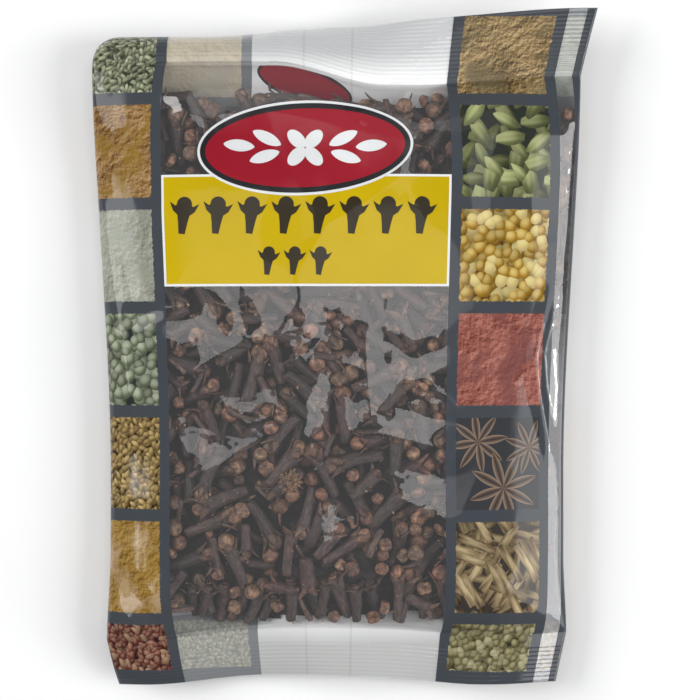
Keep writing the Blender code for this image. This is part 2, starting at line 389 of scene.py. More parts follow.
def makeStem(draw, length, foot, top, sides=12):
    # a wrinkled, slightly square and slightly bent stem along X; also gives its far end
    turns = np.linspace(0.0, 2.0 * np.pi, sides, endpoint=False) + draw.uniform(0, 1)
    bend = draw.uniform(-1.0, 1.0, 2) * 0.085 * length
    grooves = draw.uniform(-0.13, 0.10, sides)
    flat = draw.uniform(0.80, 0.97)
    waist = draw.uniform(0.0, 0.14)
    rings = []
    for s in cloveForm["stemStations"]:
        radius = between(foot, top, s ** 0.85) * (1.0 - waist * math.sin(math.pi * s) ** 2)
        if s in (0.0, 1.0):
            radius *= 0.78
        squared = 1.0 + 0.06 * np.cos(4.0 * turns) + grooves + draw.uniform(-0.07, 0.07, sides)
        curve = math.sin(math.pi * 0.8 * s)
        x = s * length + draw.uniform(-0.10, 0.10, sides)
        y = radius * squared * np.cos(turns) * flat + bend[0] * curve
        z = radius * squared * np.sin(turns) + bend[1] * curve
        rings.append(np.column_stack([x, y, z]))
    points, faces = tubeMesh(rings)
    end = math.sin(math.pi * 0.8)
    return (points, faces, cloveForm["paleness"]["stem"]), np.array([length, bend[0] * end, bend[1] * end])


def makeTooth(seat, turn, spread, length, width):
    # a calyx tooth: a thick pointed leaf that leaves the stem's top and opens outwards
    outward = np.array([0.0, math.cos(turn), math.sin(turn)])
    across = np.array([0.0, -math.sin(turn), math.cos(turn)])
    ahead = np.array([1.0, 0.0, 0.0])
    place = seat - 1.5 * ahead + (cloveForm["stemRadius"] - 0.55) * outward
    rings = []
    previous = 0.0
    for s in cloveForm["toothStations"]:
        lean = between(0.12, spread, smooth(s * 1.5))
        way = math.cos(lean) * ahead + math.sin(lean) * outward
        place = place + way * (s - previous) * (length + 1.2)
        previous = s
        lift = math.cos(lean) * outward - math.sin(lean) * ahead
        wide = 0.5 * width * (1.0 - s ** 2.2) + 0.12
        thick = cloveForm["toothThickness"] * (1.0 - 0.6 * s)
        rings.append(np.array([
            place + across * wide - lift * 0.22 * wide,
            place + lift * thick,
            place - across * wide - lift * 0.22 * wide,
            place - lift * thick,
        ]))
    points, faces = tubeMesh(rings)
    return points, faces, cloveForm["paleness"]["tooth"]


def makeHead(draw, centre, radius, square=0.0):
    # the round bud: four overlapping petals with a seam between each two
    turned = draw.uniform(0, 2 * np.pi)
    tall = draw.uniform(0.92, 1.08)
    dents = draw.uniform(-0.05, 0.05, 8)

    def radiusAt(polar, turn):
        side = math.sin(polar)
        seam = abs(math.sin(2.0 * (turn + turned) + 0.6 * polar))
        groove = cloveForm["seamDepth"] * math.exp(-(seam / cloveForm["seamWidth"]) ** 2) * side
        corner = square * (abs(math.cos(2.0 * (turn + turned))) - 0.5) * side
        dent = dents[int(turn / (2 * np.pi) * 8) % 8] * side
        return radius * (1.0 + (tall - 1.0) * math.cos(polar) ** 2 - groove + corner + dent)

    points, faces = ballMesh(cloveForm["headColumns"], cloveForm["headRows"], radiusAt)
    side = np.hypot(points[:, 1], points[:, 2])
    turns = np.arctan2(points[:, 2], points[:, 1])
    seams = np.abs(np.sin(2.0 * (turns + turned) + 0.6 * np.arctan2(side, points[:, 0])))
    # painted shade along the seams, pulling the head's colour towards the stem's
    tones = 1.0 - cloveForm["seamShade"] * np.exp(-(seams / cloveForm["seamWidth"]) ** 2) * side / radius
    return points + centre, faces[:, ::-1], tones


def makeRim(seat):
    # the square rim that a fallen cap leaves, with its short style
    turns = np.linspace(0.0, 2.0 * np.pi, 8, endpoint=False) + math.pi / 8
    squared = 1.0 / np.maximum(np.abs(np.cos(turns)), np.abs(np.sin(turns)))
    rings = []
    for x, radius in cloveForm["rimProfile"]:
        rings.append(np.column_stack([np.full(8, seat[0] + x),
                                      seat[1] + radius * squared * np.cos(turns) * 0.86,
                                      seat[2] + radius * squared * np.sin(turns) * 0.86]))
    points, faces = tubeMesh(rings)
    return points, faces, cloveForm["paleness"]["rim"]


def makeClove(draw, opened):
    # a whole clove; an opened one has lost its cap and spreads its teeth
    length = cloveForm["stemLength"] * draw.uniform(0.84, 1.12)
    stem, seat = makeStem(draw, length, cloveForm["stemFootRadius"] * draw.uniform(0.78, 1.15),
                          cloveForm["stemRadius"] * draw.uniform(0.88, 1.08))
    parts = [stem]
    turned = draw.uniform(0, np.pi)
    spread = cloveForm["teethSpread"]["open" if opened else "bud"]
    for k in range(4):
        turn = turned + k * np.pi / 2 + draw.uniform(-0.12, 0.12)
        parts.append(makeTooth(seat, turn, draw.uniform(*spread),
                               cloveForm["toothLength"] * draw.uniform(0.75, 1.15), cloveForm["toothWidth"]))
    if opened:
        parts.append(makeRim(seat))
    else:
        radius = cloveForm["headRadius"] * draw.uniform(0.86, 1.18)
        parts.append(makeHead(draw, seat + np.array([radius * 0.66, 0, 0]), radius, square=0.05))
    return joinParts(parts)


def makeStalk(draw):
    # a thin bare stalk, sometimes forked
    length = draw.uniform(7.0, 12.0)
    parts = [makeStem(draw, length, draw.uniform(0.7, 1.0), draw.uniform(0.8, 1.35), 8)[0]]
    if draw.random() < 0.45:
        (points, faces, tone), _ = makeStem(draw, length * 0.45, 0.70, 0.55, 8)
        lean = draw.uniform(0.5, 0.9)
        x, y = points[:, 0].copy(), points[:, 1].copy()
        points[:, 0] = x * math.cos(lean) - y * math.sin(lean) + length * 0.5
        points[:, 1] = x * math.sin(lean) + y * math.cos(lean)
        parts.append((points, faces, tone))
    return joinParts(parts)


def makeLooseHead(draw):
    return joinParts([makeHead(draw, np.zeros(3), cloveForm["headRadius"] * draw.uniform(0.82, 1.14))])


def makeCap(draw):
    # a fallen petal cap: squarish, hollow underneath
    radius = cloveForm["headRadius"] * draw.uniform(0.85, 1.12)
    points, faces, tones = joinParts([makeHead(draw, np.zeros(3), radius, draw.uniform(0.20, 0.38))])
    points[:, 0] *= draw.uniform(0.62, 0.85)
    middle = np.clip(1.0 - np.hypot(points[:, 1], points[:, 2]) / (0.75 * radius), 0.0, 1.0)
    points[:, 0] -= draw.uniform(0.4, 0.9) * radius * middle * (points[:, 0] > 0)
    return points, faces, tones


cloveDraw = np.random.default_rng(cloveForm["seed"])
cloveMakers = {
    "bud": lambda: makeClove(cloveDraw, False),
    "open": lambda: makeClove(cloveDraw, True),
    "stalk": lambda: makeStalk(cloveDraw),
    "head": lambda: makeLooseHead(cloveDraw),
    "cap": lambda: makeCap(cloveDraw),
}
cloveShapes = {kind: [make() for _ in range(cloveForm["variants"])]
               for kind, make in cloveMakers.items()}
print("clove shapes made")

# How the heap is filled: cloves dropped one by one onto a core, each into the lowest of some places
heapForm = {
    "area": (-0.066, 0.066, -0.080, 0.076),      # left, right, low and high
    "shares": {"bud": 0.40, "open": 0.26, "stalk": 0.08, "head": 0.16, "cap": 0.10},
    "sizes": (0.84, 1.10),
    "tries": 22,
    "most": 1500,
    "missesAllowed": 420,
    "coreDepth": 0.0082,         # how deep the loose cloves lie over the core
    "coreGap": 0.0006,           # from the core to the back film
    "nesting": 0.52,             # how far apart cloves lie that touch, as a share of their radius
    "foldCloves": 150,           # laid along each side fold before the rest, between two places
    "foldShares": {"bud": 0.5, "open": 0.3, "head": 0.2},
    "foldAcross": (0.0560, 0.0655),
    "foldTurn": 0.22,            # the most they turn from lying straight along it, in radians
    "leftFold": (-0.080, 0.076),
    "rightFold": (0.006, 0.074),
    "footCloves": 30,            # laid along the foot, stems down
    "footShares": {"bud": 0.6, "open": 0.4},
    "footTurns": (1.15, 2.0),
    "foot": (-0.045, 0.031, -0.0730, -0.0690),
    "gapTries": 700,             # attempts to fill the hollows that are left
    "gapDepth": 0.0034,
    "gapReach": 0.002,
    "gapSizes": (0.80, 0.95),
    "gapShares": {"bud": 0.38, "open": 0.22, "stalk": 0.08, "head": 0.20, "cap": 0.12},
    "leastRoom": 0.0032,
    "skinGap": 0.00012,          # between a clove and the film over it
    "backGap": 0.0002,           # and the film under it
    "widest": 0.980,             # how far out a clove may reach, as a share of the pack's half width
    "topGap": 0.0020,            # between a clove and each band's line
    "footGap": 0.0012,
    "mostSunk": 0.0004,          # a clove that would lie deeper than this in the back film is left out
    "leans": (-0.55, 0.55),
    "seed": 6,
}

# Spots along each kind's axis and its radius at each, in millimetres
cloveSpines = {
    "bud": ((0.6, 3.0, 5.5, 8.0, 10.5, 12.8), (1.5, 1.7, 1.9, 2.05, 2.25, 2.5)),
    "open": ((0.6, 3.0, 5.5, 8.0, 10.5, 12.8), (1.5, 1.7, 1.9, 2.05, 2.25, 2.2)),
    "stalk": ((0.5, 2.5, 5.0, 7.5, 9.0), (0.8, 0.9, 1.0, 1.05, 1.0)),
    "head": ((0.0,), (cloveForm["headRadius"] * 0.92,)),
    "cap": ((0.0,), (cloveForm["headRadius"] * 0.92,)),
}

spineTurns = np.linspace(0, 2 * np.pi, 6, endpoint=False)


def dropClove(pile, ceiling, kind, size, draw, area, turns=(0.0, 2 * np.pi)):
    # tries some places and takes the one that lies lowest under the ceiling
    mm = 0.001 * size
    spots, radii = [np.array(row) * mm for row in cloveSpines[kind]]
    leans = np.linspace(*heapForm["leans"], 12) if len(spots) > 1 else np.zeros(1)
    middle = spots[-1] / 2
    best = None
    for _ in range(heapForm["tries"]):
        turn = draw.uniform(*turns)
        x = draw.uniform(area[0], area[1]) + (spots - middle) * math.cos(turn)
        y = draw.uniform(area[2], area[3]) + (spots - middle) * math.sin(turn)
        aroundX = x[:, None] + 0.7 * radii[:, None] * np.append(np.cos(spineTurns), 0.0)
        aroundY = y[:, None] + 0.7 * radii[:, None] * np.append(np.sin(spineTurns), 0.0)
        cells = gridCell(aroundX, aroundY)
        under = pile[cells].max(axis=1) + radii * heapForm["nesting"]
        over = ceiling[cells].min(axis=1) - radii
        if over.min() < 0:
            continue
        rise = leans[:, None] * (spots - middle)[None, :]
        base = (under[None, :] - rise).max(axis=1)
        fits = (base[:, None] + rise <= over[None, :]).all(axis=1)
        if not fits.any():
            continue
        pick = int(np.argmin(np.where(fits, base + 0.0012 * np.abs(leans), 9.0)))
        depth = base[pick] - over.mean()
        if best is None or depth < best[0]:
            best = (depth, x, y, base[pick] + rise[pick], turn, leans[pick])
    if best is None:
        return None
    _, x, y, z, turn, lean = best
    stampPile(pile, x, y, z, radii)
    return x[0], y[0], z[0], turn, lean


def stampPile(pile, x, y, z, radii):
    # raises the height grid to the clove's own top
    margin = radii.max()
    rows, columns = gridCell(np.array([x.min() - margin, x.max() + margin]),
                             np.array([y.min() - margin, y.max() + margin]))
    patch = (slice(rows[0], rows[1] + 1), slice(columns[0], columns[1] + 1))
    for i in np.linspace(0, len(x) - 1, 2 * max(len(x), 2)):
        cx, cy, cz, radius = [np.interp(i, np.arange(len(x)), value) for value in (x, y, z, radii)]
        away = (gridX[patch] - cx) ** 2 + (gridY[patch] - cy) ** 2
        top = cz + np.sqrt(np.clip(radius ** 2 - away, 0.0, None))
        pile[patch] = np.where(away < radius ** 2, np.maximum(pile[patch], top), pile[patch])


def pickKind(draw, shares):
    kinds = list(shares)
    return kinds[draw.choice(len(kinds), p=list(shares.values()))]


def fillHeap():
    draw = np.random.default_rng(heapForm["seed"])
    core = np.maximum(shownLevel - heapForm["coreDepth"], backLevel + heapForm["coreGap"])
    pile = np.where(insidePack, core, 1.0)
    roomy = insideHeap & (shownLevel + filmRelief - backLevel > heapForm["leastRoom"])
    ceiling = np.where(roomy, shownLevel + filmRelief - heapForm["skinGap"], -1.0)
    dropped = []

    def drop(kind, size, area, *turns):
        spot = dropClove(pile, ceiling, kind, size, draw, area, *turns)
        if spot is not None:
            dropped.append((kind, size, spot))
        return spot is not None

    for side, fold in ((-1.0, "leftFold"), (1.0, "rightFold")):
        beside = (*sorted(side * place for place in heapForm["foldAcross"]), *heapForm[fold])
        for _ in range(heapForm["foldCloves"]):
            kind = pickKind(draw, heapForm["foldShares"])
            size = draw.uniform(*heapForm["sizes"])
            way = 0.5 * np.pi * draw.choice((-1.0, 1.0))
            drop(kind, size, beside, (way - heapForm["foldTurn"], way + heapForm["foldTurn"]))
    for _ in range(heapForm["footCloves"]):
        kind = pickKind(draw, heapForm["footShares"])
        drop(kind, draw.uniform(*heapForm["sizes"]), heapForm["foot"], heapForm["footTurns"])
    # the rest, each kind held to its share of those that have found a place
    tally = dict.fromkeys(heapForm["shares"], 0)
    missed = 0
    while len(dropped) < heapForm["most"] and missed < heapForm["missesAllowed"]:
        kind = pickKind(draw, heapForm["shares"])
        if tally[kind] > heapForm["shares"][kind] * sum(tally.values()) + 2:
            missed += 0.2
        elif drop(kind, draw.uniform(*heapForm["sizes"]), heapForm["area"]):
            tally[kind] += 1
        else:
            missed += 1
    reach = heapForm["gapReach"]
    for _ in range(heapForm["gapTries"]):
        hollows = np.argwhere(ceiling - pile > heapForm["gapDepth"])
        if not len(hollows):
            break
        row, column = hollows[draw.integers(len(hollows))]
        x, y = gridX[row, column], gridY[row, column]
        kind = pickKind(draw, heapForm["gapShares"])
        size = draw.uniform(*heapForm["gapSizes"])
        drop(kind, size, (x - reach, x + reach, y - reach, y + reach))
    return dropped, pile, core


droppedCloves, heapTop, coreTop = fillHeap()
print("cloves dropped:", len(droppedCloves))


def bandPlaces(t, side, distance, crimp, atTop):
    # points of a welded band, at a distance out along it, on the shown or back film
    width = halfWidth(1.0 if atTop else 0.0)
    reach = packForm["topBand"] if atTop else packForm["bottomBand"]
    out = 1.0 if atTop else -1.0
    share = distance / reach
    if atTop:
        start = packForm["topCurlFrom"]
        curl = packForm["topCurl"] * smooth((start - t) / (2.0 * start))
        curl = curl + packForm["topCornerCurl"] * cornerRound(t)
        curl = curl - packForm["topLift"] * smooth((t - 0.4) / 0.6)
        startY = topLine(t)
        startZ = topBandHeight(t)
        x = width * t + packForm["topFlare"] * share * np.maximum(0.0, t)
    else:
        curl = packForm["bottomCurl"] * smooth(0.5 - 0.6 * t)
        startY = bottomLine(t)
        startZ = bottomBandHeight(t)
        x = (width - packForm["bottomTuck"] * share) * t
    curl = np.where(np.abs(curl) < 1e-5, 1e-5, curl)
    turn = curl * share
    run = reach / curl * np.sin(turn)
    drop = reach / curl * (1.0 - np.cos(turn))
    depth = filmForm["weld"] * np.sqrt(1.0 - np.minimum(1.0, np.abs(t)) ** 16)
    if share >= 1.0:
        depth = depth * 0.0
    offset = side * depth + crimp
    return np.stack([x, startY + out * (run + offset * np.sin(turn)),
                     startZ - drop + offset * np.cos(turn)], axis=-1)


def divided(marks, cell):
    # a run of values through all the marks, no further apart than the cell
    values = [marks[0]]
    for low, high in zip(marks, marks[1:]):
        count = max(1, math.ceil((high - low) / cell - 1e-6))
        values += [between(low, high, (i + 1) / count) for i in range(count)]
    return np.array(values)


def filmMarks():
    form = filmForm
    rightBand = form["windowRight"] + form["bandWidth"]
    backBand = rightBand + form["stripWidth"]
    leftBand = 4 * form["flatHalf"] + form["windowLeft"] - form["bandWidth"]
    leftStrip = leftBand - form["stripWidth"]
    return {
        "rightBand": rightBand,
        "backBand": backBand,
        "panelStart": backBand + form["bandWidth"],
        "panelEnd": leftStrip - form["bandWidth"],
        "leftStrip": leftStrip,
        "leftBand": leftBand,
    }


def filmColumns():
    form = filmForm
    marks = filmMarks()
    half = form["flatHalf"]
    shown = divided([-half, form["windowLeft"], form["windowRight"], marks["rightBand"],
                     marks["backBand"], half], form["cell"])
    back = divided([half, marks["panelStart"], form["finLeft"] - form["finMargin"], form["finLeft"],
                    form["finRight"], form["finRight"] + form["finMargin"], marks["panelEnd"],
                    marks["leftStrip"], marks["leftBand"], 3 * half], form["backCell"])
    return shown, back[1:-1]


def arcPlaces(levels, width, shares):
    t = np.sin(np.linspace(-0.5 * np.pi, 0.5 * np.pi, filmForm["arcSteps"]))
    z = levels(t)
    run = np.concatenate([[0.0], np.cumsum(np.hypot(np.diff(t) * width, np.diff(z)))])
    return np.interp(shares * run[-1], run, t)


def rowPlace(w, t):
    top = packForm["topLine"]
    bottom = packForm["bottomLine"]
    y = between(bottom, top, w)
    y = y + (topLine(t) - top) * smooth((w - 0.86) / 0.14)
    return y + (bottomLine(t) - bottom) * (1.0 - smooth(w / 0.14))


def filmRing(w, shownShares, backShares, finColumns, displacement):
    # one ring of film at share w of the pack's length, and how far along each of its points lies
    width = halfWidth(w)
    t = arcPlaces(lambda q: filmLevels(q, rowPlace(w, q))[0], width, shownShares)
    y = rowPlace(w, t)
    x = width * t
    z = filmLevels(t, y)[0] + readGrid(displacement, x, y)
    tb = arcPlaces(lambda q: np.maximum(filmLevels(q, rowPlace(w, q))[1], 0.0), width, backShares)
    yb = rowPlace(w, tb)
    lowest = np.where(finColumns, filmForm["bellyGap"], filmForm["floorGap"])
    zb = np.maximum(filmLevels(tb, yb)[1], lowest)
    ring = np.concatenate([np.column_stack([x, y, z]), np.column_stack([width * tb, yb, zb])])
    return ring, np.concatenate([y, yb])


def bandRings(atTop, shownShares, backShares):
    # the rings of a welded band, from its line out to its cut end, crimped on the way
    reach = packForm["topBand"] if atTop else packForm["bottomBand"]
    ridges = round(reach / filmForm["crimpPitch"])
    steps = ridges * filmForm["crimpRows"]
    shownT = 2 * shownShares - 1
    backT = 2 * backShares - 1
    start = (topLine if atTop else bottomLine)(np.concatenate([shownT, backT]))
    rings, places = [], []
    for i in range(1, steps + 1):
        distance = reach * i / steps
        ease = smooth(distance / 0.002) * smooth((reach - distance) / 0.001)
        if not atTop:
            ease = ease * smooth((distance - 0.003) / 0.001)
        crimp = filmForm["crimpDepth"] * ease * math.sin(2 * math.pi * ridges * i / steps)
        rings.append(np.concatenate([bandPlaces(shownT, 1.0, distance, crimp, atTop),
                                     bandPlaces(backT, -1.0, distance, crimp, atTop)]))
        places.append(start + distance if atTop else start - distance)
    return rings, places


def makeFilmGrid(displacement):
    # every point of the film as rows of closed rings, with its print place (u, v)
    shown, back = filmColumns()
    half = filmForm["flatHalf"]
    shares = ((shown + half) / (2 * half), (3 * half - back) / (2 * half))
    finColumns = (back > filmForm["finLeft"] - 0.0001) & (back < filmForm["finRight"] + 0.0001)
    bottom, top = packForm["bottomLine"], packForm["topLine"]
    labelMarks = [(filmForm[name] - bottom) / (top - bottom) for name in ("labelLow", "labelHigh")]
    rows = divided([0.0, *labelMarks, 1.0], filmForm["cell"] / (top - bottom))
    rings, places = zip(*[filmRing(w, *shares, finColumns, displacement) for w in rows])
    footRings, footPlaces = bandRings(False, *shares)
    headRings, headPlaces = bandRings(True, *shares)
    points = np.array(footRings[::-1] + list(rings) + headRings)
    v = np.array(footPlaces[::-1] + list(places) + headPlaces)
    labelRows = [len(footRings) + np.argmin(abs(rows - mark)) for mark in labelMarks]
    return points, np.concatenate([shown, back]), v, labelRows


def drapedFilm():
    # the film lies a little higher where cloves reach up to it, and is taut between them
    drape = filmForm["drape"]
    reached = np.clip(heapTop - shownLevel - filmRelief + drape, 0.0, drape)
    nearby = blurred(np.where(insidePack, reached, 0.0), filmForm["drapeBlur"])
    return (filmRelief + filmForm["imprint"] * nearby) * smooth((1.0 - np.abs(gridShare)) / 0.05)


filmShift = drapedFilm()
filmPoints, filmU, filmV, labelRows = makeFilmGrid(filmShift)
lowest = filmPoints.min(axis=(0, 1))
highest = filmPoints.max(axis=(0, 1))
packShift = np.array([-(lowest[0] + highest[0]) / 2, -(lowest[1] + highest[1]) / 2, 0.0])
print("film laid over the heap:", filmPoints.shape)


# Node helpers for the materials
def addNode(tree, kind, inputs=None, **settings):
    node = tree.nodes.new("ShaderNode" + kind)
    for name, value in settings.items():
        setattr(node, name, value)
    for name, value in (inputs or {}).items():
        socket = node.inputs[name]
        if isinstance(value, bpy.types.NodeSocket):
            tree.links.new(value, socket)
        elif isinstance(value, tuple) and socket.type == "RGBA" and len(value) == 3:
            socket.default_value = (*value, 1.0)
        else:
            socket.default_value = value
    return node


def mathOn(tree, operation, *values):
    node = tree.nodes.new("ShaderNodeMath")
    node.operation = operation
    for socket, value in zip(node.inputs, values):
        if isinstance(value, bpy.types.NodeSocket):
            tree.links.new(value, socket)
        else:
            socket.default_value = value
    return node.outputs[0]


def mixColors(tree, factor, a, b, blend="MIX"):
    node = tree.nodes.new("ShaderNodeMix")
    node.data_type = "RGBA"
    node.blend_type = blend
    for index, value in ((0, factor), (6, a), (7, b)):
        socket = node.inputs[index]
        if isinstance(value, bpy.types.NodeSocket):
            tree.links.new(value, socket)
        elif index == 0:
            socket.default_value = value
        else:
            socket.default_value = (*value, 1.0)
    return node.outputs[2]


def noiseOn(tree, place, scale, detail=2.0, roughness=0.5):
    return addNode(tree, "TexNoise", {"Vector": place, "Scale": scale, "Detail": detail,
                                      "Roughness": roughness}).outputs[0]


def rampOf(tree, value, stops):
    node = tree.nodes.new("ShaderNodeValToRGB")
    elements = node.color_ramp.elements
    while len(elements) < len(stops):
        elements.new(0.5)
    for element, (place, color) in zip(elements, stops):
        element.position = place
        element.color = (*color, 1.0)
    tree.links.new(value, node.inputs[0])
    return node.outputs[0]


def colorBetween(a, b, share):
    return tuple(between(low, high, share) for low, high in zip(a, b))


def newMaterial(name):
    material = bpy.data.materials.new(name)
    material.use_nodes = True
    tree = material.node_tree
    tree.nodes.clear()
    output = tree.nodes.new("ShaderNodeOutputMaterial")
    return material, tree, output


def finishPrincipled(tree, output, color, roughness, bump=None, bumpDistance=0.0002, **plain):
    inputs = {"Base Color": color, "Roughness": roughness}
    for name, value in plain.items():
        inputs[name.replace("_", " ")] = value
    shader = addNode(tree, "BsdfPrincipled", inputs)
    if bump is not None:
        relief = addNode(tree, "Bump", {"Height": bump, "Strength": 1.0, "Distance": bumpDistance})
        tree.links.new(relief.outputs[0], shader.inputs["Normal"])
    tree.links.new(shader.outputs[0], output.inputs[0])
    return shader


# Colours of the print, as linear light
printColors = {
    "navy": (0.062, 0.066, 0.076),
    "navyEdge": (0.041, 0.051, 0.061),
    "white": (0.72, 0.73, 0.74),
    "thinWhite": (0.58, 0.60, 0.61),
    "label": (0.490, 0.345, 0.002),
    "labelLight": (0.545, 0.385, 0.003),
    "glyph": (0.030, 0.022, 0.010),
    "emblem": (0.30, 0.010, 0.022),
    "emblemEdge": (0.020, 0.020, 0.022),
    "panel": (0.89, 0.89, 0.88),             # the white back, and where its ink lies thin
    "panelThin": (0.82, 0.825, 0.83),
    "panelDust": (0.45, 0.38, 0.31),
    "panelTopWeldAndShade": (0.575, 0.58, 0.585),    # darker where the bands are welded: partly the welded double film, partly painted shade
    # the foot band darker still, as painted shade
    "panelBottomWeldAndShade": (0.515, 0.52, 0.51),
    "panelFoldShade": (0.88, 0.88, 0.87),         # painted shade: multiplies the white along the creases at the fin's two edges
}

# What fills the cells of the printed bands, in millimetres: powders, grains, sticks or stars, with colours
# from the gaps to the lit tops. A layer of sticks has the way that it lies and how bright it is; a star has
# its place, reach and turn.
spices = {
    "tanPowder": {"kind": "powder", "clump": 2.0, "patch": (0.125, 0.100, 0.052),
                  "colors": ((0.045, 0.030, 0.014), (0.215, 0.142, 0.058), (0.46, 0.34, 0.17))},
    "beigePowder": {"kind": "powder", "clump": 2.4, "patch": (0.42, 0.36, 0.25),
                    "colors": ((0.34, 0.27, 0.15), (0.46, 0.365, 0.215), (0.56, 0.47, 0.31))},
    "redPowder": {"kind": "powder", "clump": 2.4, "patch": (0.17, 0.060, 0.056),
                  "colors": ((0.12, 0.034, 0.026), (0.275, 0.092, 0.070), (0.42, 0.18, 0.14))},
    "orangePowder": {"kind": "powder", "clump": 2.0, "patch": (0.235, 0.135, 0.012),
                     "colors": ((0.085, 0.040, 0.012), (0.255, 0.142, 0.052), (0.40, 0.27, 0.13))},
    "yellowPowder": {"kind": "powder", "clump": 1.6, "patch": (0.40, 0.28, 0.165),
                     "colors": ((0.135, 0.070, 0.014), (0.265, 0.155, 0.030), (0.36, 0.23, 0.075))},
    "palePowder": {"kind": "powder", "clump": 2.4, "patch": (0.25, 0.265, 0.21),
                   "colors": ((0.17, 0.175, 0.135), (0.285, 0.290, 0.235), (0.40, 0.41, 0.35))},
    "greenPods": {"kind": "grains", "length": 11.0, "width": 4.5, "pitch": 7.0, "taper": 1.3, "ribs": 2.5,
                  "colors": ((0.024, 0.028, 0.022), (0.135, 0.150, 0.060), (0.40, 0.42, 0.20))},
    "yellowSplits": {"kind": "grains", "length": 4.2, "width": 3.5, "pitch": 3.15, "taper": 0.0,
                     "colors": ((0.085, 0.038, 0.008), (0.350, 0.195, 0.022), (0.68, 0.54, 0.20)),
                     "palest": (0.62, 0.58, 0.30)},
    "brownStars": {"kind": "stars", "armWidth": 0.52,
                   "stars": ((9.4, -25.6, 9.0, 0.3), (24.8, -27.2, 8.0, 0.9), (17.0, -38.4, 10.6, 0.1)),
                   "colors": ((0.038, 0.039, 0.044), (0.072, 0.048, 0.038), (0.235, 0.170, 0.125))},
    "strawSticks": {"kind": "sticks", "length": 15.0, "width": 3.1,
                    "layers": ((1.9, 0.40), (0.5, 0.55), (2.9, 0.65), (1.35, 0.75), (0.95, 0.85),
                               (-0.35, 0.92), (2.15, 1.0)),
                    "colors": ((0.040, 0.034, 0.030), (0.225, 0.158, 0.085), (0.50, 0.40, 0.23))},
    "greenSeeds": {"kind": "grains", "length": 2.9, "width": 2.4, "pitch": 2.2, "taper": 0.0,
                   "colors": ((0.026, 0.024, 0.013), (0.152, 0.134, 0.060), (0.40, 0.37, 0.21)),
                   "palest": (0.36, 0.34, 0.22)},
    "paleGrains": {"kind": "grains", "length": 1.7, "width": 0.95, "pitch": 1.15, "taper": 0.2,
                   "colors": ((0.17, 0.16, 0.11), (0.28, 0.27, 0.19), (0.42, 0.41, 0.32))},
    "paleSeeds": {"kind": "grains", "length": 4.2, "width": 1.25, "pitch": 2.1, "taper": 0.6,
                  "colors": ((0.030, 0.036, 0.024), (0.150, 0.165, 0.100), (0.40, 0.42, 0.28))},
    "greenBeans": {"kind": "grains", "length": 4.3, "width": 3.5, "pitch": 3.4, "taper": 0.0,
                   "colors": ((0.022, 0.026, 0.027), (0.120, 0.142, 0.086), (0.42, 0.45, 0.34))},
    "goldenSeeds": {"kind": "grains", "length": 3.3, "width": 1.5, "pitch": 1.95, "taper": 0.3,
                    "colors": ((0.028, 0.017, 0.007), (0.200, 0.128, 0.043), (0.46, 0.34, 0.15))},
    "rustFlakes": {"kind": "grains", "length": 3.3, "width": 1.7, "pitch": 1.9, "taper": 0.6,
                   "colors": ((0.022, 0.009, 0.008), (0.125, 0.034, 0.026), (0.34, 0.19, 0.13)),
                   "palest": (0.34, 0.26, 0.15)},
}

# Each band's cells, from its foot to its top
bandForm = {
    "firstCell": -0.1039,        # where the lowest cell begins, in the pack's own length
    "cellPitch": 0.0289,
    "cellMargin": 0.0017,
    "footEdge": -0.0902,         # the lowest and highest that any cell reaches
    "headEdge": 0.0932,
    "sideMargin": 0.0030,
    "right": ("greenSeeds", "strawSticks", "brownStars", "redPowder", "yellowSplits", "greenPods",
              "tanPowder"),
    "left": ("rustFlakes", "yellowPowder", "goldenSeeds", "greenBeans", "palePowder", "orangePowder",
             "paleSeeds"),
    "backRight": ("goldenSeeds", "tanPowder", "orangePowder", "palePowder", "greenBeans", "rustFlakes",
                  "palePowder"),
    "backLeft": ("paleGrains", "tanPowder", "greenPods", "yellowSplits", "strawSticks", "redPowder",
                 "beigePowder"),
    "grainLayers": ((1, 0.45), (2, 0.72), (3, 1.0)),     # each layer's number and how bright it is
    "paling": 0.28,              # how far the print pales, seen through its own thin backing
    # two inks drawn paler still on the backing, painted light that lifts them where they show in the shaded
    # side folds
    "paintedLightInks": ("tanPowder", "orangePowder"),
    "paintedLightPaling": 0.62,
}


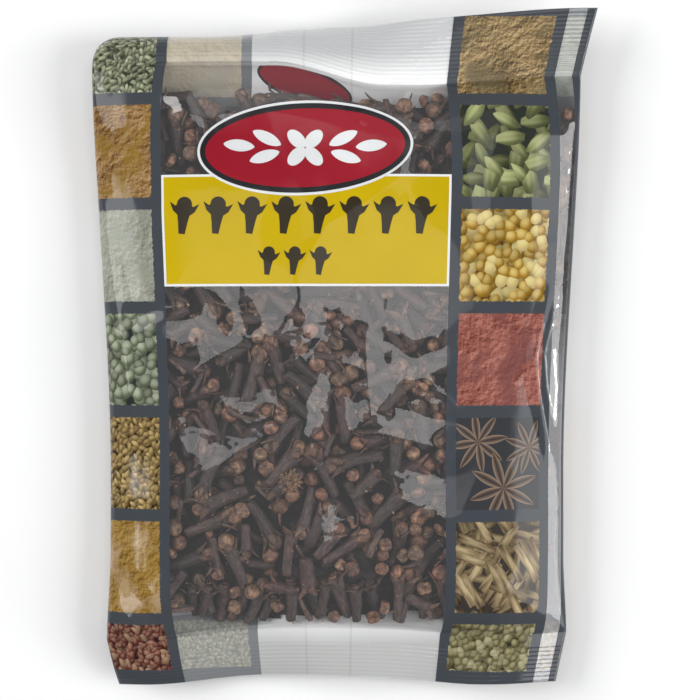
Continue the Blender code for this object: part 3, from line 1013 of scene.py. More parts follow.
def grainLayer(tree, place, spice, layer):
    # one layer of scattered grains: where they are, how lit each spot is and each grain's own shade
    away = (7.3 * layer, 4.9 * layer, 0.0)
    moved = addNode(tree, "VectorMath", {0: place, 1: away}, operation="ADD").outputs[0]
    cells = addNode(tree, "TexVoronoi", {"Vector": moved, "Scale": 1.0 / spice["pitch"]},
                    voronoi_dimensions="2D")
    local = addNode(tree, "VectorMath", {0: moved, 1: cells.outputs["Position"]}, operation="SUBTRACT")
    across, along = addNode(tree, "SeparateXYZ", {"Vector": local.outputs[0]}).outputs[:2]
    own = addNode(tree, "SeparateColor", {"Color": cells.outputs["Color"]}).outputs
    angle = mathOn(tree, "MULTIPLY", own[0], 2 * math.pi)
    cosine, sine = mathOn(tree, "COSINE", angle), mathOn(tree, "SINE", angle)
    x = mathOn(tree, "ADD", mathOn(tree, "MULTIPLY", across, cosine), mathOn(tree, "MULTIPLY", along, sine))
    y = mathOn(tree, "SUBTRACT", mathOn(tree, "MULTIPLY", along, cosine),
               mathOn(tree, "MULTIPLY", across, sine))
    size = mathOn(tree, "MULTIPLY_ADD", own[1], 0.35, 0.75)
    halfLong = mathOn(tree, "MULTIPLY", size, spice["length"] / 2)
    halfWide = mathOn(tree, "MULTIPLY", size, spice["width"] / 2)
    lengthways = mathOn(tree, "POWER", mathOn(tree, "DIVIDE", x, halfLong), 2.0)
    sideways = mathOn(tree, "POWER", mathOn(tree, "DIVIDE", y, halfWide), 2.0)
    narrowed = mathOn(tree, "MULTIPLY_ADD", lengthways, spice["taper"], 1.0)
    outness = mathOn(tree, "ADD", lengthways, mathOn(tree, "MULTIPLY", sideways, narrowed))
    toLight = mathOn(tree, "MULTIPLY_ADD", across, -0.35 / spice["width"],
                     mathOn(tree, "MULTIPLY", along, 0.45 / spice["width"]))
    lit = mathOn(tree, "ADD", mathOn(tree, "MULTIPLY_ADD", outness, -0.38, 0.62), toLight)
    if "ribs" in spice:
        ribs = mathOn(tree, "SINE", mathOn(tree, "MULTIPLY", y, 2 * math.pi * spice["ribs"] / spice["width"]))
        lit = mathOn(tree, "MULTIPLY_ADD", ribs, 0.06, lit)
    return mathOn(tree, "LESS_THAN", outness, 1.0), lit, own[2]


def layerOver(tree, color, mask, skin, own, bright):
    # a layer laid over the colour below it, each grain or stick with a shade of its own
    shade = mathOn(tree, "MULTIPLY_ADD", own, 0.45 * bright, 0.68 * bright)
    grey = addNode(tree, "CombineColor", {"Red": shade, "Green": shade, "Blue": shade}).outputs[0]
    return mixColors(tree, mask, color, mixColors(tree, 1.0, skin, grey, "MULTIPLY"))


def grainColor(tree, place, spice):
    gap, base, light = spice["colors"]
    dusk = colorBetween(gap, base, 0.5)
    color = gap
    for layer, bright in bandForm["grainLayers"]:
        mask, lit, own = grainLayer(tree, place, spice, layer)
        skin = rampOf(tree, lit, [(0.05, dusk), (0.38, base), (0.80, light)])
        if "palest" in spice:
            some = mathOn(tree, "MULTIPLY", mathOn(tree, "GREATER_THAN", own, 0.80), 0.42)
            skin = mixColors(tree, some, skin, spice["palest"])
        color = layerOver(tree, color, mask, skin, own, bright)
    return color


def stickColor(tree, place, spice):
    # layers of long sticks, each layer laid its own way
    gap, base, light = spice["colors"]
    color = gap
    for layer, (angle, bright) in enumerate(spice["layers"]):
        laid = addNode(tree, "Mapping", {"Vector": place, "Location": (3.7 * layer, 2.9 * layer, 0.0),
                                         "Rotation": (0.0, 0.0, angle),
                                         "Scale": (spice["length"], spice["width"], 1.0)},
                       vector_type="TEXTURE").outputs[0]
        cells = addNode(tree, "TexVoronoi", {"Vector": laid, "Scale": 1.0, "Randomness": 1.0},
                        voronoi_dimensions="2D", distance="CHEBYCHEV")
        own = addNode(tree, "SeparateColor", {"Color": cells.outputs["Color"]}).outputs
        mask = mathOn(tree, "MULTIPLY", mathOn(tree, "LESS_THAN", cells.outputs["Distance"], 0.40),
                      mathOn(tree, "GREATER_THAN", own[0], 0.55))
        fibre = noiseOn(tree, laid, 3.0, 3.0)
        lit = mathOn(tree, "MULTIPLY_ADD", cells.outputs["Distance"], -1.1, mathOn(tree, "ADD", fibre, 0.25))
        skin = rampOf(tree, lit, [(0.15, gap), (0.40, base), (0.75, light)])
        color = layerOver(tree, color, mask, skin, own[2], bright)
    return color


def powderColor(tree, place, spice):
    # clumped powder, lit from the upper left, with broad patches of another shade
    low, middle, high = spice["colors"]
    beside = addNode(tree, "VectorMath", {0: place, 1: (0.30, -0.38, 0.0)}, operation="ADD").outputs[0]
    here, there = [noiseOn(tree, at, 1.0 / spice["clump"], 7.0, 0.68) for at in (place, beside)]
    lit = mathOn(tree, "MULTIPLY", mathOn(tree, "SUBTRACT", here, there), 1.5)
    broad = noiseOn(tree, place, 0.10)
    value = mathOn(tree, "ADD", lit, mathOn(tree, "MULTIPLY_ADD", broad, 0.5, 0.25))
    color = rampOf(tree, value, [(0.30, low), (0.50, middle), (0.72, high)])
    spread = noiseOn(tree, place, 0.075, 4.0, 0.6)
    patched = addNode(tree, "MapRange", {"Value": spread, "From Min": 0.50, "From Max": 0.60, "To Max": 0.75})
    return mixColors(tree, patched.outputs[0], color, spice["patch"])


def starColor(tree, place, spice):
    # eight-armed stars of boat-shaped husks
    gap, rim, husk = spice["colors"]
    worn = colorBetween(rim, husk, 0.45)
    color = gap
    for x, y, reach, turn in spice["stars"]:
        local = addNode(tree, "VectorMath", {0: place, 1: (x, y, 0.0)}, operation="SUBTRACT").outputs[0]
        across, along = addNode(tree, "SeparateXYZ", {"Vector": local}).outputs[:2]
        angle = mathOn(tree, "ARCTAN2", along, across)
        length = addNode(tree, "VectorMath", {0: local}, operation="LENGTH").outputs["Value"]
        step = mathOn(tree, "FRACT", mathOn(tree, "MULTIPLY_ADD", angle, 4.0 / math.pi, turn + 8.0))
        aside = mathOn(tree, "MULTIPLY", mathOn(tree, "ABSOLUTE", mathOn(tree, "SUBTRACT", step, 0.5)),
                       mathOn(tree, "MULTIPLY", length, math.pi / 4.0))
        far = mathOn(tree, "MINIMUM", mathOn(tree, "DIVIDE", length, reach), 1.0)
        bulge = mathOn(tree, "MULTIPLY", far, mathOn(tree, "SUBTRACT", 1.0, far))
        wide = mathOn(tree, "MULTIPLY", bulge, spice["armWidth"] * reach)
        edge = mathOn(tree, "DIVIDE", aside, mathOn(tree, "MAXIMUM", wide, 0.001))
        shades = rampOf(tree, edge, [(0.08, gap), (0.22, rim), (0.58, worn), (0.88, husk)])
        color = mixColors(tree, mathOn(tree, "LESS_THAN", edge, 1.0), color, shades)
    return color


def cellColor(tree, spice):
    # a navy ground with a column of cells, all filled alike
    place = filmPlace(tree)
    across, along = addNode(tree, "SeparateXYZ", {"Vector": place}).outputs[:2]
    pitch = 1000.0 * bandForm["cellPitch"]
    steps = mathOn(tree, "DIVIDE", mathOn(tree, "SUBTRACT", along, 1000.0 * bandForm["firstCell"]), pitch)
    offset = mathOn(tree, "ABSOLUTE", mathOn(tree, "SUBTRACT", mathOn(tree, "FRACT", steps), 0.5))
    ragged = mathOn(tree, "MULTIPLY_ADD", noiseOn(tree, place, 0.9), 1.1, -0.55)
    upAway = mathOn(tree, "ADD", mathOn(tree, "MULTIPLY", offset, pitch), ragged)
    halfBand = 500.0 * filmForm["bandWidth"]
    aside = mathOn(tree, "ABSOLUTE", mathOn(tree, "SUBTRACT", across, halfBand))
    sideAway = mathOn(tree, "ADD", aside, ragged)
    inCell = mathOn(tree, "MULTIPLY",
                    mathOn(tree, "LESS_THAN", upAway, pitch / 2 - 1000.0 * bandForm["cellMargin"]),
                    mathOn(tree, "LESS_THAN", sideAway, halfBand - 1000.0 * bandForm["sideMargin"]))
    onFilm = mathOn(tree, "ADD", along, ragged)
    inBand = mathOn(tree, "MULTIPLY",
                    mathOn(tree, "GREATER_THAN", onFilm, 1000.0 * bandForm["footEdge"]),
                    mathOn(tree, "LESS_THAN", onFilm, 1000.0 * bandForm["headEdge"]))
    inCell = mathOn(tree, "MULTIPLY", inCell, inBand)
    paints = {"powder": powderColor, "grains": grainColor, "sticks": stickColor, "stars": starColor}
    navy = mixColors(tree, noiseOn(tree, place, 0.05), printColors["navy"], printColors["navyEdge"])
    return mixColors(tree, inCell, navy, paints[spice["kind"]](tree, place, spice))


def filmScuffs(tree, place):
    # fine rubbed patches that take a little off the gloss
    return rampOf(tree, noiseOn(tree, place, 0.16, 5.0, 0.6),
                  [(0.35, (0.05, 0.05, 0.05)), (0.75, (0.15, 0.15, 0.15))])


def filmPlace(tree):
    uv = addNode(tree, "UVMap", uv_map="UVMap").outputs[0]
    return addNode(tree, "VectorMath", {0: uv, "Scale": 1000.0}, operation="SCALE").outputs[0]


def cellMaterial(spiceName, pale=False):
    material, tree, output = newMaterial(("backing_" if pale else "print_") + spiceName)
    color = cellColor(tree, spices[spiceName])
    if pale:
        # the backing pales; the two inks above pale further, as painted light
        paling = bandForm["paintedLightPaling" if spiceName in bandForm["paintedLightInks"] else "paling"]
        color = mixColors(tree, paling, color, printColors["thinWhite"])
    finishPrincipled(tree, output, color, filmScuffs(tree, filmPlace(tree)), Specular_IOR_Level=0.22)
    return material


# The clear film of the window and the side strips
clearFilm = {
    "mirror": 1.62,              # index that sets how strongly the film mirrors
    "tint": (0.985, 0.985, 0.985),
    "haze": 0.032,               # share of the milky scatter
    "sheenHaze": 0.26,          # raised on the side strips below the label: a milkier film there as painted sheen
    "sheenHazeFrom": (-14.0, 16.0),         # how far along the pack that fades in, in millimetres
    "hazeColor": (0.80, 0.80, 0.83),
    "roughness": 0.030,
    "ripple": 0.00016,           # depth of its fine ripples, in metres
}


def clearMaterial(name, sheenHazed=False):
    material, tree, output = newMaterial(name)
    through = addNode(tree, "BsdfTransparent", {"Color": clearFilm["tint"]})
    place = filmPlace(tree)
    ripple = noiseOn(tree, place, 0.12, 2.0, 0.45)
    relief = addNode(tree, "Bump", {"Height": ripple, "Strength": 1.0, "Distance": clearFilm["ripple"]})
    mirror = addNode(tree, "BsdfGlossy", {"Color": (1.0, 1.0, 1.0), "Roughness": clearFilm["roughness"],
                                          "Normal": relief.outputs[0]})
    # the film is thin, so it mirrors alike from inside and outside
    behind = addNode(tree, "NewGeometry").outputs["Backfacing"]
    outside = clearFilm["mirror"]
    index = mathOn(tree, "MULTIPLY_ADD", behind, 1.0 / outside - outside, outside)
    angle = addNode(tree, "Fresnel", {"IOR": index, "Normal": relief.outputs[0]})
    pane = addNode(tree, "MixShader", {0: angle.outputs[0], 1: through.outputs[0], 2: mirror.outputs[0]})
    scatter = addNode(tree, "BsdfDiffuse", {"Color": clearFilm["hazeColor"]})
    haze = clearFilm["haze"]
    # lower down the side strips the film turns milkier, as painted sheen
    if sheenHazed:
        along = addNode(tree, "SeparateXYZ", {"Vector": place}).outputs[1]
        low, high = clearFilm["sheenHazeFrom"]
        haze = addNode(tree, "MapRange", {"Value": along, "From Min": low, "From Max": high,
                                          "To Min": clearFilm["sheenHaze"], "To Max": haze}).outputs[0]
    milk = addNode(tree, "MixShader", {0: haze, 1: pane.outputs[0], 2: scatter.outputs[0]})
    tree.links.new(milk.outputs[0], output.inputs[0])
    return material


# The plain white print of the back
panelForm = {
    "weldShadeFrom": (76.0, 83.0),  # how far along either way the white grows darker, partly welded film and partly painted shade, in millimetres
    "dust": 0.73,                # noise above this is drawn as brown specks
    "foldShadeWidth": 0.30,           # from the middle of each line of painted shade along the fin
}


def panelMaterial(name):
    # the white back, slightly mottled where the ink lies thin
    material, tree, output = newMaterial(name)
    place = filmPlace(tree)
    color = rampOf(tree, noiseOn(tree, place, 0.06, 4.0),
                   [(0.3, printColors["panelThin"]), (0.7, printColors["panel"])])
    dusty = mathOn(tree, "GREATER_THAN", noiseOn(tree, place, 0.8, 3.0), panelForm["dust"])
    color = mixColors(tree, dusty, color, printColors["panelDust"])
    across, along = addNode(tree, "SeparateXYZ", {"Vector": place}).outputs[:2]
    # the white darkens towards each band: partly the welded double film, partly painted shade, more at the
    # foot
    low, high = panelForm["weldShadeFrom"]
    weldShading = addNode(tree, "MapRange", {"Value": mathOn(tree, "ABSOLUTE", along),
                                        "From Min": low, "From Max": high})
    weldAndShade = mixColors(tree, mathOn(tree, "LESS_THAN", along, 0.0),
                     printColors["panelTopWeldAndShade"], printColors["panelBottomWeldAndShade"])
    color = mixColors(tree, weldShading.outputs[0], color, weldAndShade)
    start = filmMarks()["panelStart"]
    # painted shade along the creases at the fin's two edges
    for edge in (filmForm["finLeft"] - start, filmForm["finRight"] - start):
        away = mathOn(tree, "ABSOLUTE", mathOn(tree, "SUBTRACT", across, 1000.0 * edge))
        inFoldShade = mathOn(tree, "LESS_THAN", away, panelForm["foldShadeWidth"])
        fold = mixColors(tree, 1.0, color, printColors["panelFoldShade"], "MULTIPLY")
        color = mixColors(tree, inFoldShade, color, fold)
    finishPrincipled(tree, output, color, filmScuffs(tree, place), Specular_IOR_Level=0.22)
    return material


labelBorder = 0.65               # white edge of the yellow label, in millimetres


def labelMaterial():
    material, tree, output = newMaterial("label_print")
    place = filmPlace(tree)
    across, along = addNode(tree, "SeparateXYZ", {"Vector": place}).outputs[:2]
    middleU = 500.0 * (filmForm["windowLeft"] + filmForm["windowRight"])
    middleV = 500.0 * (filmForm["labelLow"] + filmForm["labelHigh"])
    halfWide = 500.0 * (filmForm["windowRight"] - filmForm["windowLeft"]) - labelBorder
    halfHigh = 500.0 * (filmForm["labelHigh"] - filmForm["labelLow"]) - labelBorder
    sideways = mathOn(tree, "ABSOLUTE", mathOn(tree, "SUBTRACT", across, middleU))
    lengthways = mathOn(tree, "ABSOLUTE", mathOn(tree, "SUBTRACT", along, middleV))
    inside = mathOn(tree, "MULTIPLY", mathOn(tree, "LESS_THAN", sideways, halfWide),
                    mathOn(tree, "LESS_THAN", lengthways, halfHigh))
    yellow = rampOf(tree, noiseOn(tree, place, 0.035),
                    [(0.35, printColors["label"]), (0.70, printColors["labelLight"])])
    color = mixColors(tree, inside, printColors["white"], yellow)
    finishPrincipled(tree, output, color, filmScuffs(tree, place), Specular_IOR_Level=0.18)
    return material


def newMesh(name, points, faces, materials, slots=None, uv=None, tones=None, barks=None,
            smoothShade=True):
    # slots by face, uv by face corner, tones and barks by point
    mesh = bpy.data.meshes.new(name)
    faces = faces.tolist() if isinstance(faces, np.ndarray) else faces
    mesh.from_pydata((points + packShift).tolist(), [], faces)
    for material in materials:
        mesh.materials.append(material)
    if slots is not None:
        mesh.polygons.foreach_set("material_index", np.asarray(slots, dtype=np.int32))
    mesh.polygons.foreach_set("use_smooth", np.full(len(mesh.polygons), smoothShade))
    if uv is not None:
        layer = mesh.uv_layers.new(name="UVMap")
        layer.data.foreach_set("uv", np.asarray(uv, dtype=np.float32).ravel())
    if tones is not None:
        shade = mesh.attributes.new("tone", "FLOAT_COLOR", "POINT")
        shade.data.foreach_set("color", np.asarray(tones, dtype=np.float32).ravel())
    if barks is not None:
        bark = mesh.attributes.new("bark", "FLOAT_VECTOR", "POINT")
        bark.data.foreach_set("vector", np.asarray(barks, dtype=np.float32).ravel())
    mesh.update()
    piece = bpy.data.objects.new(name, mesh)
    bpy.context.scene.collection.objects.link(piece)
    return piece


def filmFieldOf(u):
    # which field of the film a place round the tube lies in, and where that field starts
    marks = filmMarks()
    if u < filmForm["windowLeft"]:
        return "left", marks["leftBand"] - 4 * filmForm["flatHalf"]
    for name, end, start in (("window", filmForm["windowRight"], 0.0),
                             ("right", marks["rightBand"], filmForm["windowRight"]),
                             ("strip", marks["backBand"], 0.0),
                             ("backRight", marks["panelStart"], marks["backBand"]),
                             ("panel", marks["panelEnd"], marks["panelStart"]),
                             ("backLeft", marks["leftStrip"], marks["panelEnd"]),
                             ("strip", marks["leftBand"], 0.0)):
        if u < end:
            return name, start
    return "left", marks["leftBand"]


def fieldMaterial(field, v):
    # the material's name for a spot of the film: its band's cell there, or the field itself
    if field not in bandForm:
        return field
    row = int((v - bandForm["firstCell"]) / bandForm["cellPitch"])
    return bandForm[field][min(max(row, 0), len(bandForm[field]) - 1)]


def filmPart(name, points, us, vs, closed, makeMaterial, labelled=False):
    # a mesh over rows of film points; every face takes its print's material and print place
    rows, count = points.shape[:2]
    used = {}
    faces, slots, corners = [], [], []
    nextU = np.append(us[1:], 3 * filmForm["flatHalf"])
    fields = [filmFieldOf((us[i] + nextU[i]) / 2) for i in range(count if closed else count - 1)]
    for row in range(rows - 1):
        onLabel = labelled and labelRows[0] <= row < labelRows[1]
        for i, (field, start) in enumerate(fields):
            j = (i + 1) % count
            ink = fieldMaterial(field, (vs[row, i] + vs[row + 1, i]) / 2)
            if onLabel and field == "window":
                ink = "label"
            slots.append(used.setdefault(ink, len(used)))
            a = row * count
            faces.append((a + i, a + j, a + count + j, a + count + i))
            left, right = us[i] - start, nextU[i] - start
            corners += [(left, vs[row, i]), (right, vs[row, j]),
                        (right, vs[row + 1, j]), (left, vs[row + 1, i])]
    materials = [makeMaterial(ink) for ink in used]
    piece = newMesh(name, points.reshape(-1, 3), faces, materials, slots, np.array(corners))
    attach(piece, "root")
    return piece


def printMaterialFor(ink):
    if ink in ("window", "strip"):
        return clearMaterial("clear_" + ink, sheenHazed=ink == "strip")
    if ink == "label":
        return labelMaterial()
    return panelMaterial("back_panel_print") if ink == "panel" else cellMaterial(ink)


def backingMaterialFor(ink):
    return panelMaterial("back_panel_backing") if ink == "panel" else cellMaterial(ink, pale=True)


def buildFilm():
    film = filmPart("pack_film", filmPoints, filmU, filmV, True, printMaterialFor, labelled=True)
    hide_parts("clove_pack")


def movedOut(points, distance):
    # film points moved along the film's own outward direction
    normal = np.cross(np.gradient(points, axis=1), np.gradient(points, axis=0))
    normal /= np.linalg.norm(normal, axis=2, keepdims=True) + 1e-12
    return points + normal * distance


def buildBacking():
    # the white side of the back's print, seen from inside through the clear window
    marks = filmMarks()
    keep = [i for i, u in enumerate(filmU) if marks["backBand"] - 1e-6 <= u <= marks["leftStrip"] + 1e-6]
    points = movedOut(filmPoints[:, keep], -filmForm["backingDepth"])
    filmPart("film_backing", points, filmU[keep], filmV[:, keep], False, backingMaterialFor)


def buildFin():
    # the tube's own closing weld, folded flat on the back
    keep = [i for i, u in enumerate(filmU) if filmForm["finLeft"] - 1e-6 <= u <= filmForm["finRight"] + 1e-6]
    outer = movedOut(filmPoints[:, keep], filmForm["finOuter"])
    inner = movedOut(filmPoints[:, keep], filmForm["finInner"])
    points, faces = tubeMesh(np.concatenate([outer, inner[:, ::-1]], axis=1))
    material, tree, output = newMaterial("fin_weld_print")
    place = addNode(tree, "TexCoord").outputs["Object"]
    ribs = addNode(tree, "TexWave", {"Vector": place, "Scale": 260.0, "Distortion": 0.4, "Detail": 1.0},
                   bands_direction="Y")
    # the ribs drawn darker in their hollows, painted shade following the bump
    shade = rampOf(tree, ribs.outputs["Fac"], [(0.2, (0.76, 0.77, 0.79)), (0.8, (0.86, 0.865, 0.87))])
    finishPrincipled(tree, output, shade, 0.16, bump=ribs.outputs["Fac"], bumpDistance=0.00006,
                     Specular_IOR_Level=0.3)
    fin = newMesh("fin_weld", points, faces, [material])
    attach(fin, "root")


buildFilm()
buildBacking()
buildFin()
print("film made")

# Shapes printed over the film: a red badge with a blossom, and plain clove figures on the label
printedShapes = {
    "lift": 0.00005,             # each layer over the one below it
    "badgeAt": (-0.0087, 0.0556),
    "badgeHalf": (0.0298, 0.0130),
    "badgeTilt": 0.05,
    "badgeLayers": (("white", 1.0), ("emblemEdge", 0.975), ("emblem", 0.925)),
    "backBadgeAt": (-0.0090, 0.0742),    # its twin on the back, seen through the empty top
    "backBadgeHalf": (0.0142, 0.0048),
    "backBadgeTilt": -0.30,
    "figureHeight": 0.0104,
    "figureStep": 0.0094,
    "figureLean": -0.10,
    "upperFigures": 8,
    "upperAt": (-0.0096, 0.0372),
    "lowerFigures": 3,
    "lowerAt": (-0.0118, 0.0246),
    "lowerScale": 0.76,
    "cell": 0.0007,              # about how large the small faces are that follow the film
    "ringCell": 0.0008,
}


def shownHeight(x, y):
    return filmLevels(shareAcross(x, y), y)[0] + readGrid(filmShift, x, y)


def insideBackHeight(x, y):
    return np.maximum(filmLevels(shareAcross(x, y), y)[1], 0.0) + 0.0001


def leantTo(x, y, lean, at):
    # flat points leant by an angle and moved to a place
    return np.column_stack([at[0] + x * math.cos(lean) - y * math.sin(lean),
                            at[1] + x * math.sin(lean) + y * math.cos(lean)])


def oval(halfWide, halfHigh, lean, at, pointed=1.0, count=48):
    # an oval's outline; pointed below 1 sharpens its two ends into a leaf
    turns = np.linspace(0, 2 * np.pi, count, endpoint=False)
    y = halfHigh * np.sign(np.sin(turns)) * np.abs(np.sin(turns)) ** (1.0 / pointed)
    return leantTo(halfWide * np.cos(turns), y, lean, at)


def layPrint(outline, layer, middle, heightAt):
    # fills an outline with rings of small faces that follow the film
    fine = []
    for start, end in zip(outline, np.roll(outline, -1, axis=0)):
        count = max(1, math.ceil(np.hypot(*(end - start)) / printedShapes["cell"]))
        fine += [between(start, end, i / count) for i in range(count)]
    fine = np.array(fine)
    count = len(fine)
    rings = max(2, math.ceil(np.hypot(*(fine - middle).T).max() / printedShapes["ringCell"]))
    flat = np.concatenate([[middle]] + [between(middle, fine, (i + 1) / rings) for i in range(rings)])
    height = heightAt(flat[:, 0], flat[:, 1]) + printedShapes["lift"] * layer
    faces = []
    for i in range(count):
        j = (i + 1) % count
        faces.append((0, 1 + i, 1 + j))
        for ring in range(rings - 1):
            a = 1 + ring * count
            faces += [(a + i, a + count + i, a + count + j), (a + i, a + count + j, a + j)]
    return np.column_stack([flat, height]), np.array(faces)


def cloveFigure(at, height, lean):
    # one outline of a stem, two teeth and a round bud, and the point that it is filled from
    arc = [(0.205 * math.cos(a), 0.79 + 0.205 * math.sin(a)) for a in np.linspace(-0.1, math.pi + 0.1, 15)]
    right = [(0.085, 0.0), (0.125, 0.30), (0.165, 0.50), (0.290, 0.60), (0.400, 0.83), (0.240, 0.74)]
    left = [(-x, y) for x, y in reversed(right)]
    shape = np.array(right + arc + left + [(0.0, 0.60)])
    placed = leantTo(shape[:, 0] * height, (shape[:, 1] - 0.5) * height, lean, at)
    return placed[:-1], placed[-1]


def badgeBlossom():
    # four petals between two sprigs of three leaves
    outlines = []
    for k in range(4):
        turn = math.pi / 4 + k * math.pi / 2
        outlines.append(oval(0.0031, 0.0019, turn, (0.0033 * math.cos(turn), 0.0033 * math.sin(turn))))
    for side in (-1, 1):
        for reach, rise, lean in ((0.0105, 0.0026, 0.45), (0.0112, -0.0024, -0.30), (0.0182, 0.0006, 0.10)):
            outlines.append(oval(0.0043, 0.0016, side * lean, (side * reach, rise), pointed=0.7, count=32))
    return outlines


def inkMaterial(name, color):
    material, tree, output = newMaterial(name)
    cloud = noiseOn(tree, addNode(tree, "TexCoord").outputs["Object"], 60.0, 3.0)
    ink = rampOf(tree, cloud, [(0.3, tuple(0.88 * c for c in color)), (0.7, color)])
    finishPrincipled(tree, output, ink, 0.14, Specular_IOR_Level=0.22)
    return material


def badgeOvals(half, tilt, at, layers, count, heightAt):
    # the badge's nested ovals, each as its ink, layer, outline, middle and the film that it lies on
    ovals = []
    for layer, (ink, share) in enumerate(layers, start=1):
        trim = (1.0 - share) * half[0]
        outline = oval(half[0] - trim, half[1] - trim, tilt, at, count=count)
        ovals.append((ink, layer, outline, at, heightAt))
    return ovals


def buildPrintedShapes():
    form = printedShapes
    badgeAt, backAt = np.array(form["badgeAt"]), np.array(form["backBadgeAt"])
    layers = form["badgeLayers"]
    outlines = badgeOvals(form["badgeHalf"], form["badgeTilt"], badgeAt, layers, 120, shownHeight)
    for part in badgeBlossom():
        middle = part.mean(axis=0) + badgeAt
        outlines.append(("white", len(layers) + 1, part + badgeAt, middle, shownHeight))
    outlines += badgeOvals(form["backBadgeHalf"], form["backBadgeTilt"], backAt, layers[1:], 48,
                           insideBackHeight)
    for count, at, scale in ((form["upperFigures"], form["upperAt"], 1.0),
                             (form["lowerFigures"], form["lowerAt"], form["lowerScale"])):
        for i in range(count):
            x = at[0] + (i - (count - 1) / 2) * form["figureStep"] * scale
            outline, middle = cloveFigure((x, at[1]), form["figureHeight"] * scale, form["figureLean"])
            outlines.append(("glyph", 1, outline, middle, shownHeight))
    inks = ["white", "emblemEdge", "emblem", "glyph"]
    shapes, slots = [], []
    for ink, layer, outline, middle, heightAt in outlines:
        shapes.append(layPrint(outline, layer, middle, heightAt))
        slots += [inks.index(ink)] * len(shapes[-1][1])
    materials = [inkMaterial("shape_" + ink, printColors[ink]) for ink in inks]
    overprint = newMesh("printed_shapes", *joined(shapes), materials, slots)
    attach(overprint, "root")


buildPrintedShapes()
print("printed shapes made")

# Clove colours, as linear light
cloveColors = {
    "stem": ((0.017, 0.0105, 0.0090), (0.052, 0.032, 0.027), (0.118, 0.073, 0.057)),
    "stalk": ((0.030, 0.018, 0.014), (0.090, 0.055, 0.040), (0.18, 0.115, 0.078)),
    "head": ((0.056, 0.030, 0.020), (0.168, 0.092, 0.055), (0.37, 0.228, 0.128)),
    # the heap's core, near black as painted shade deep between the cloves
    "core": ((0.006, 0.0045, 0.0040), (0.028, 0.018, 0.015), (0.055, 0.035, 0.028)),
    "crumb": ((0.14, 0.085, 0.050), (0.30, 0.20, 0.12), (0.52, 0.40, 0.27)),
    "tuft": ((0.16, 0.080, 0.045), (0.36, 0.21, 0.12), (0.58, 0.40, 0.25)),
}


def cloveMaterial(name, palette, palePalette):
    # bark wrinkled along the stem, its colour following the wrinkles: partly the bark's grain, partly painted
    # shade in the grooves and painted highlight on the ridges; paler on teeth and rims
    material, tree, output = newMaterial(name)
    tone = addNode(tree, "Attribute", attribute_name="tone")
    own, pale, red = addNode(tree, "SeparateColor", {"Color": tone.outputs["Color"]}).outputs[:3]
    bark = addNode(tree, "Attribute", attribute_name="bark").outputs["Vector"]
    drawn = addNode(tree, "Mapping", {"Vector": bark, "Scale": (0.30, 1.0, 1.0)}).outputs[0]
    wrinkles = noiseOn(tree, drawn, 1.5, 5.0, 0.62)
    patches = noiseOn(tree, bark, 0.55, 3.0)
    skin = rampOf(tree, wrinkles, [(0.36, palette[0]), (0.53, palette[1]), (0.72, palette[2])])
    blend = mathOn(tree, "MULTIPLY_ADD", patches, 0.6, mathOn(tree, "MULTIPLY", wrinkles, 0.5))
    paler = rampOf(tree, blend, [(0.40, palePalette[0]), (0.55, palePalette[1]), (0.70, palePalette[2])])
    color = mixColors(tree, pale, skin, paler)
    bright = mathOn(tree, "MULTIPLY_ADD", own, 0.85, 0.55)
    cooler = mathOn(tree, "MULTIPLY", bright, mathOn(tree, "MULTIPLY_ADD", red, -0.28, 1.06))
    shade = addNode(tree, "CombineColor", {"Red": bright, "Green": cooler, "Blue": cooler}).outputs[0]
    color = mixColors(tree, 1.0, color, shade, "MULTIPLY")
    finishPrincipled(tree, output, color, 0.58, bump=wrinkles, bumpDistance=0.00032)
    return material


def turnShape(points, roll, pitch, yaw):
    # turns points about their own length, then up, then round
    c, s = math.cos(roll), math.sin(roll)
    rollBy = np.array([[1, 0, 0], [0, c, -s], [0, s, c]])
    c, s = math.cos(pitch), math.sin(pitch)
    pitchBy = np.array([[c, 0, -s], [0, 1, 0], [s, 0, c]])
    c, s = math.cos(yaw), math.sin(yaw)
    yawBy = np.array([[c, -s, 0], [s, c, 0], [0, 0, 1]])
    return points @ (yawBy @ pitchBy @ rollBy).T


def seated(points):
    # moves a clove inward and down until all of it lies inside the film; None where it can't
    x, y = points[:, 0], points[:, 1]
    width = halfWidth((y - packForm["bottomLine"]) / (packForm["topLine"] - packForm["bottomLine"]))
    excess = (np.abs(x) - heapForm["widest"] * width).max()
    if excess > 0:
        points[:, 0] -= math.copysign(excess, x.mean())
    t = shareAcross(points[:, 0], y)
    high = (y - topLine(t) + heapForm["topGap"]).max()
    low = (bottomLine(t) + heapForm["footGap"] - y).max()
    points[:, 1] -= max(high, 0.0) - max(low, 0.0)
    t = shareAcross(points[:, 0], points[:, 1])
    top = shownHeight(points[:, 0], points[:, 1]) - heapForm["skinGap"]
    points[:, 2] -= max((points[:, 2] - top).max(), 0.0)
    floorLevel = np.maximum(filmLevels(t, points[:, 1])[1], filmForm["bellyGap"]) + heapForm["backGap"]
    if (floorLevel - points[:, 2]).max() > heapForm["mostSunk"]:
        return None
    return points


def gatherCloves(kind):
    # all the dropped cloves of one kind as joined arrays
    draw = np.random.default_rng([30, list(cloveShapes).index(kind)])
    shapes, tones, barks = [], [], []
    for dropped, size, (x, y, z, yaw, lean) in droppedCloves:
        if dropped != kind:
            continue
        shape, triangles, pale = cloveShapes[kind][draw.integers(cloveForm["variants"])]
        pitch = math.atan(lean)
        if kind in ("head", "cap"):
            yaw = draw.uniform(0, 2 * np.pi)
            pitch = draw.uniform(-1.2, 1.2)
        placed = turnShape(shape * 0.001 * size, draw.uniform(0, 2 * np.pi), pitch, yaw)
        placed = seated(placed + np.array([x, y, z]))
        if placed is None:
            continue
        own, red = draw.random(2)
        every = np.ones(len(pale))
        shapes.append((placed, triangles))
        tones.append(np.column_stack([own * every, pale, red * every, every]))
        barks.append(shape + draw.uniform(0, 400, 3))
    return joined(shapes), np.concatenate(tones), np.concatenate(barks)


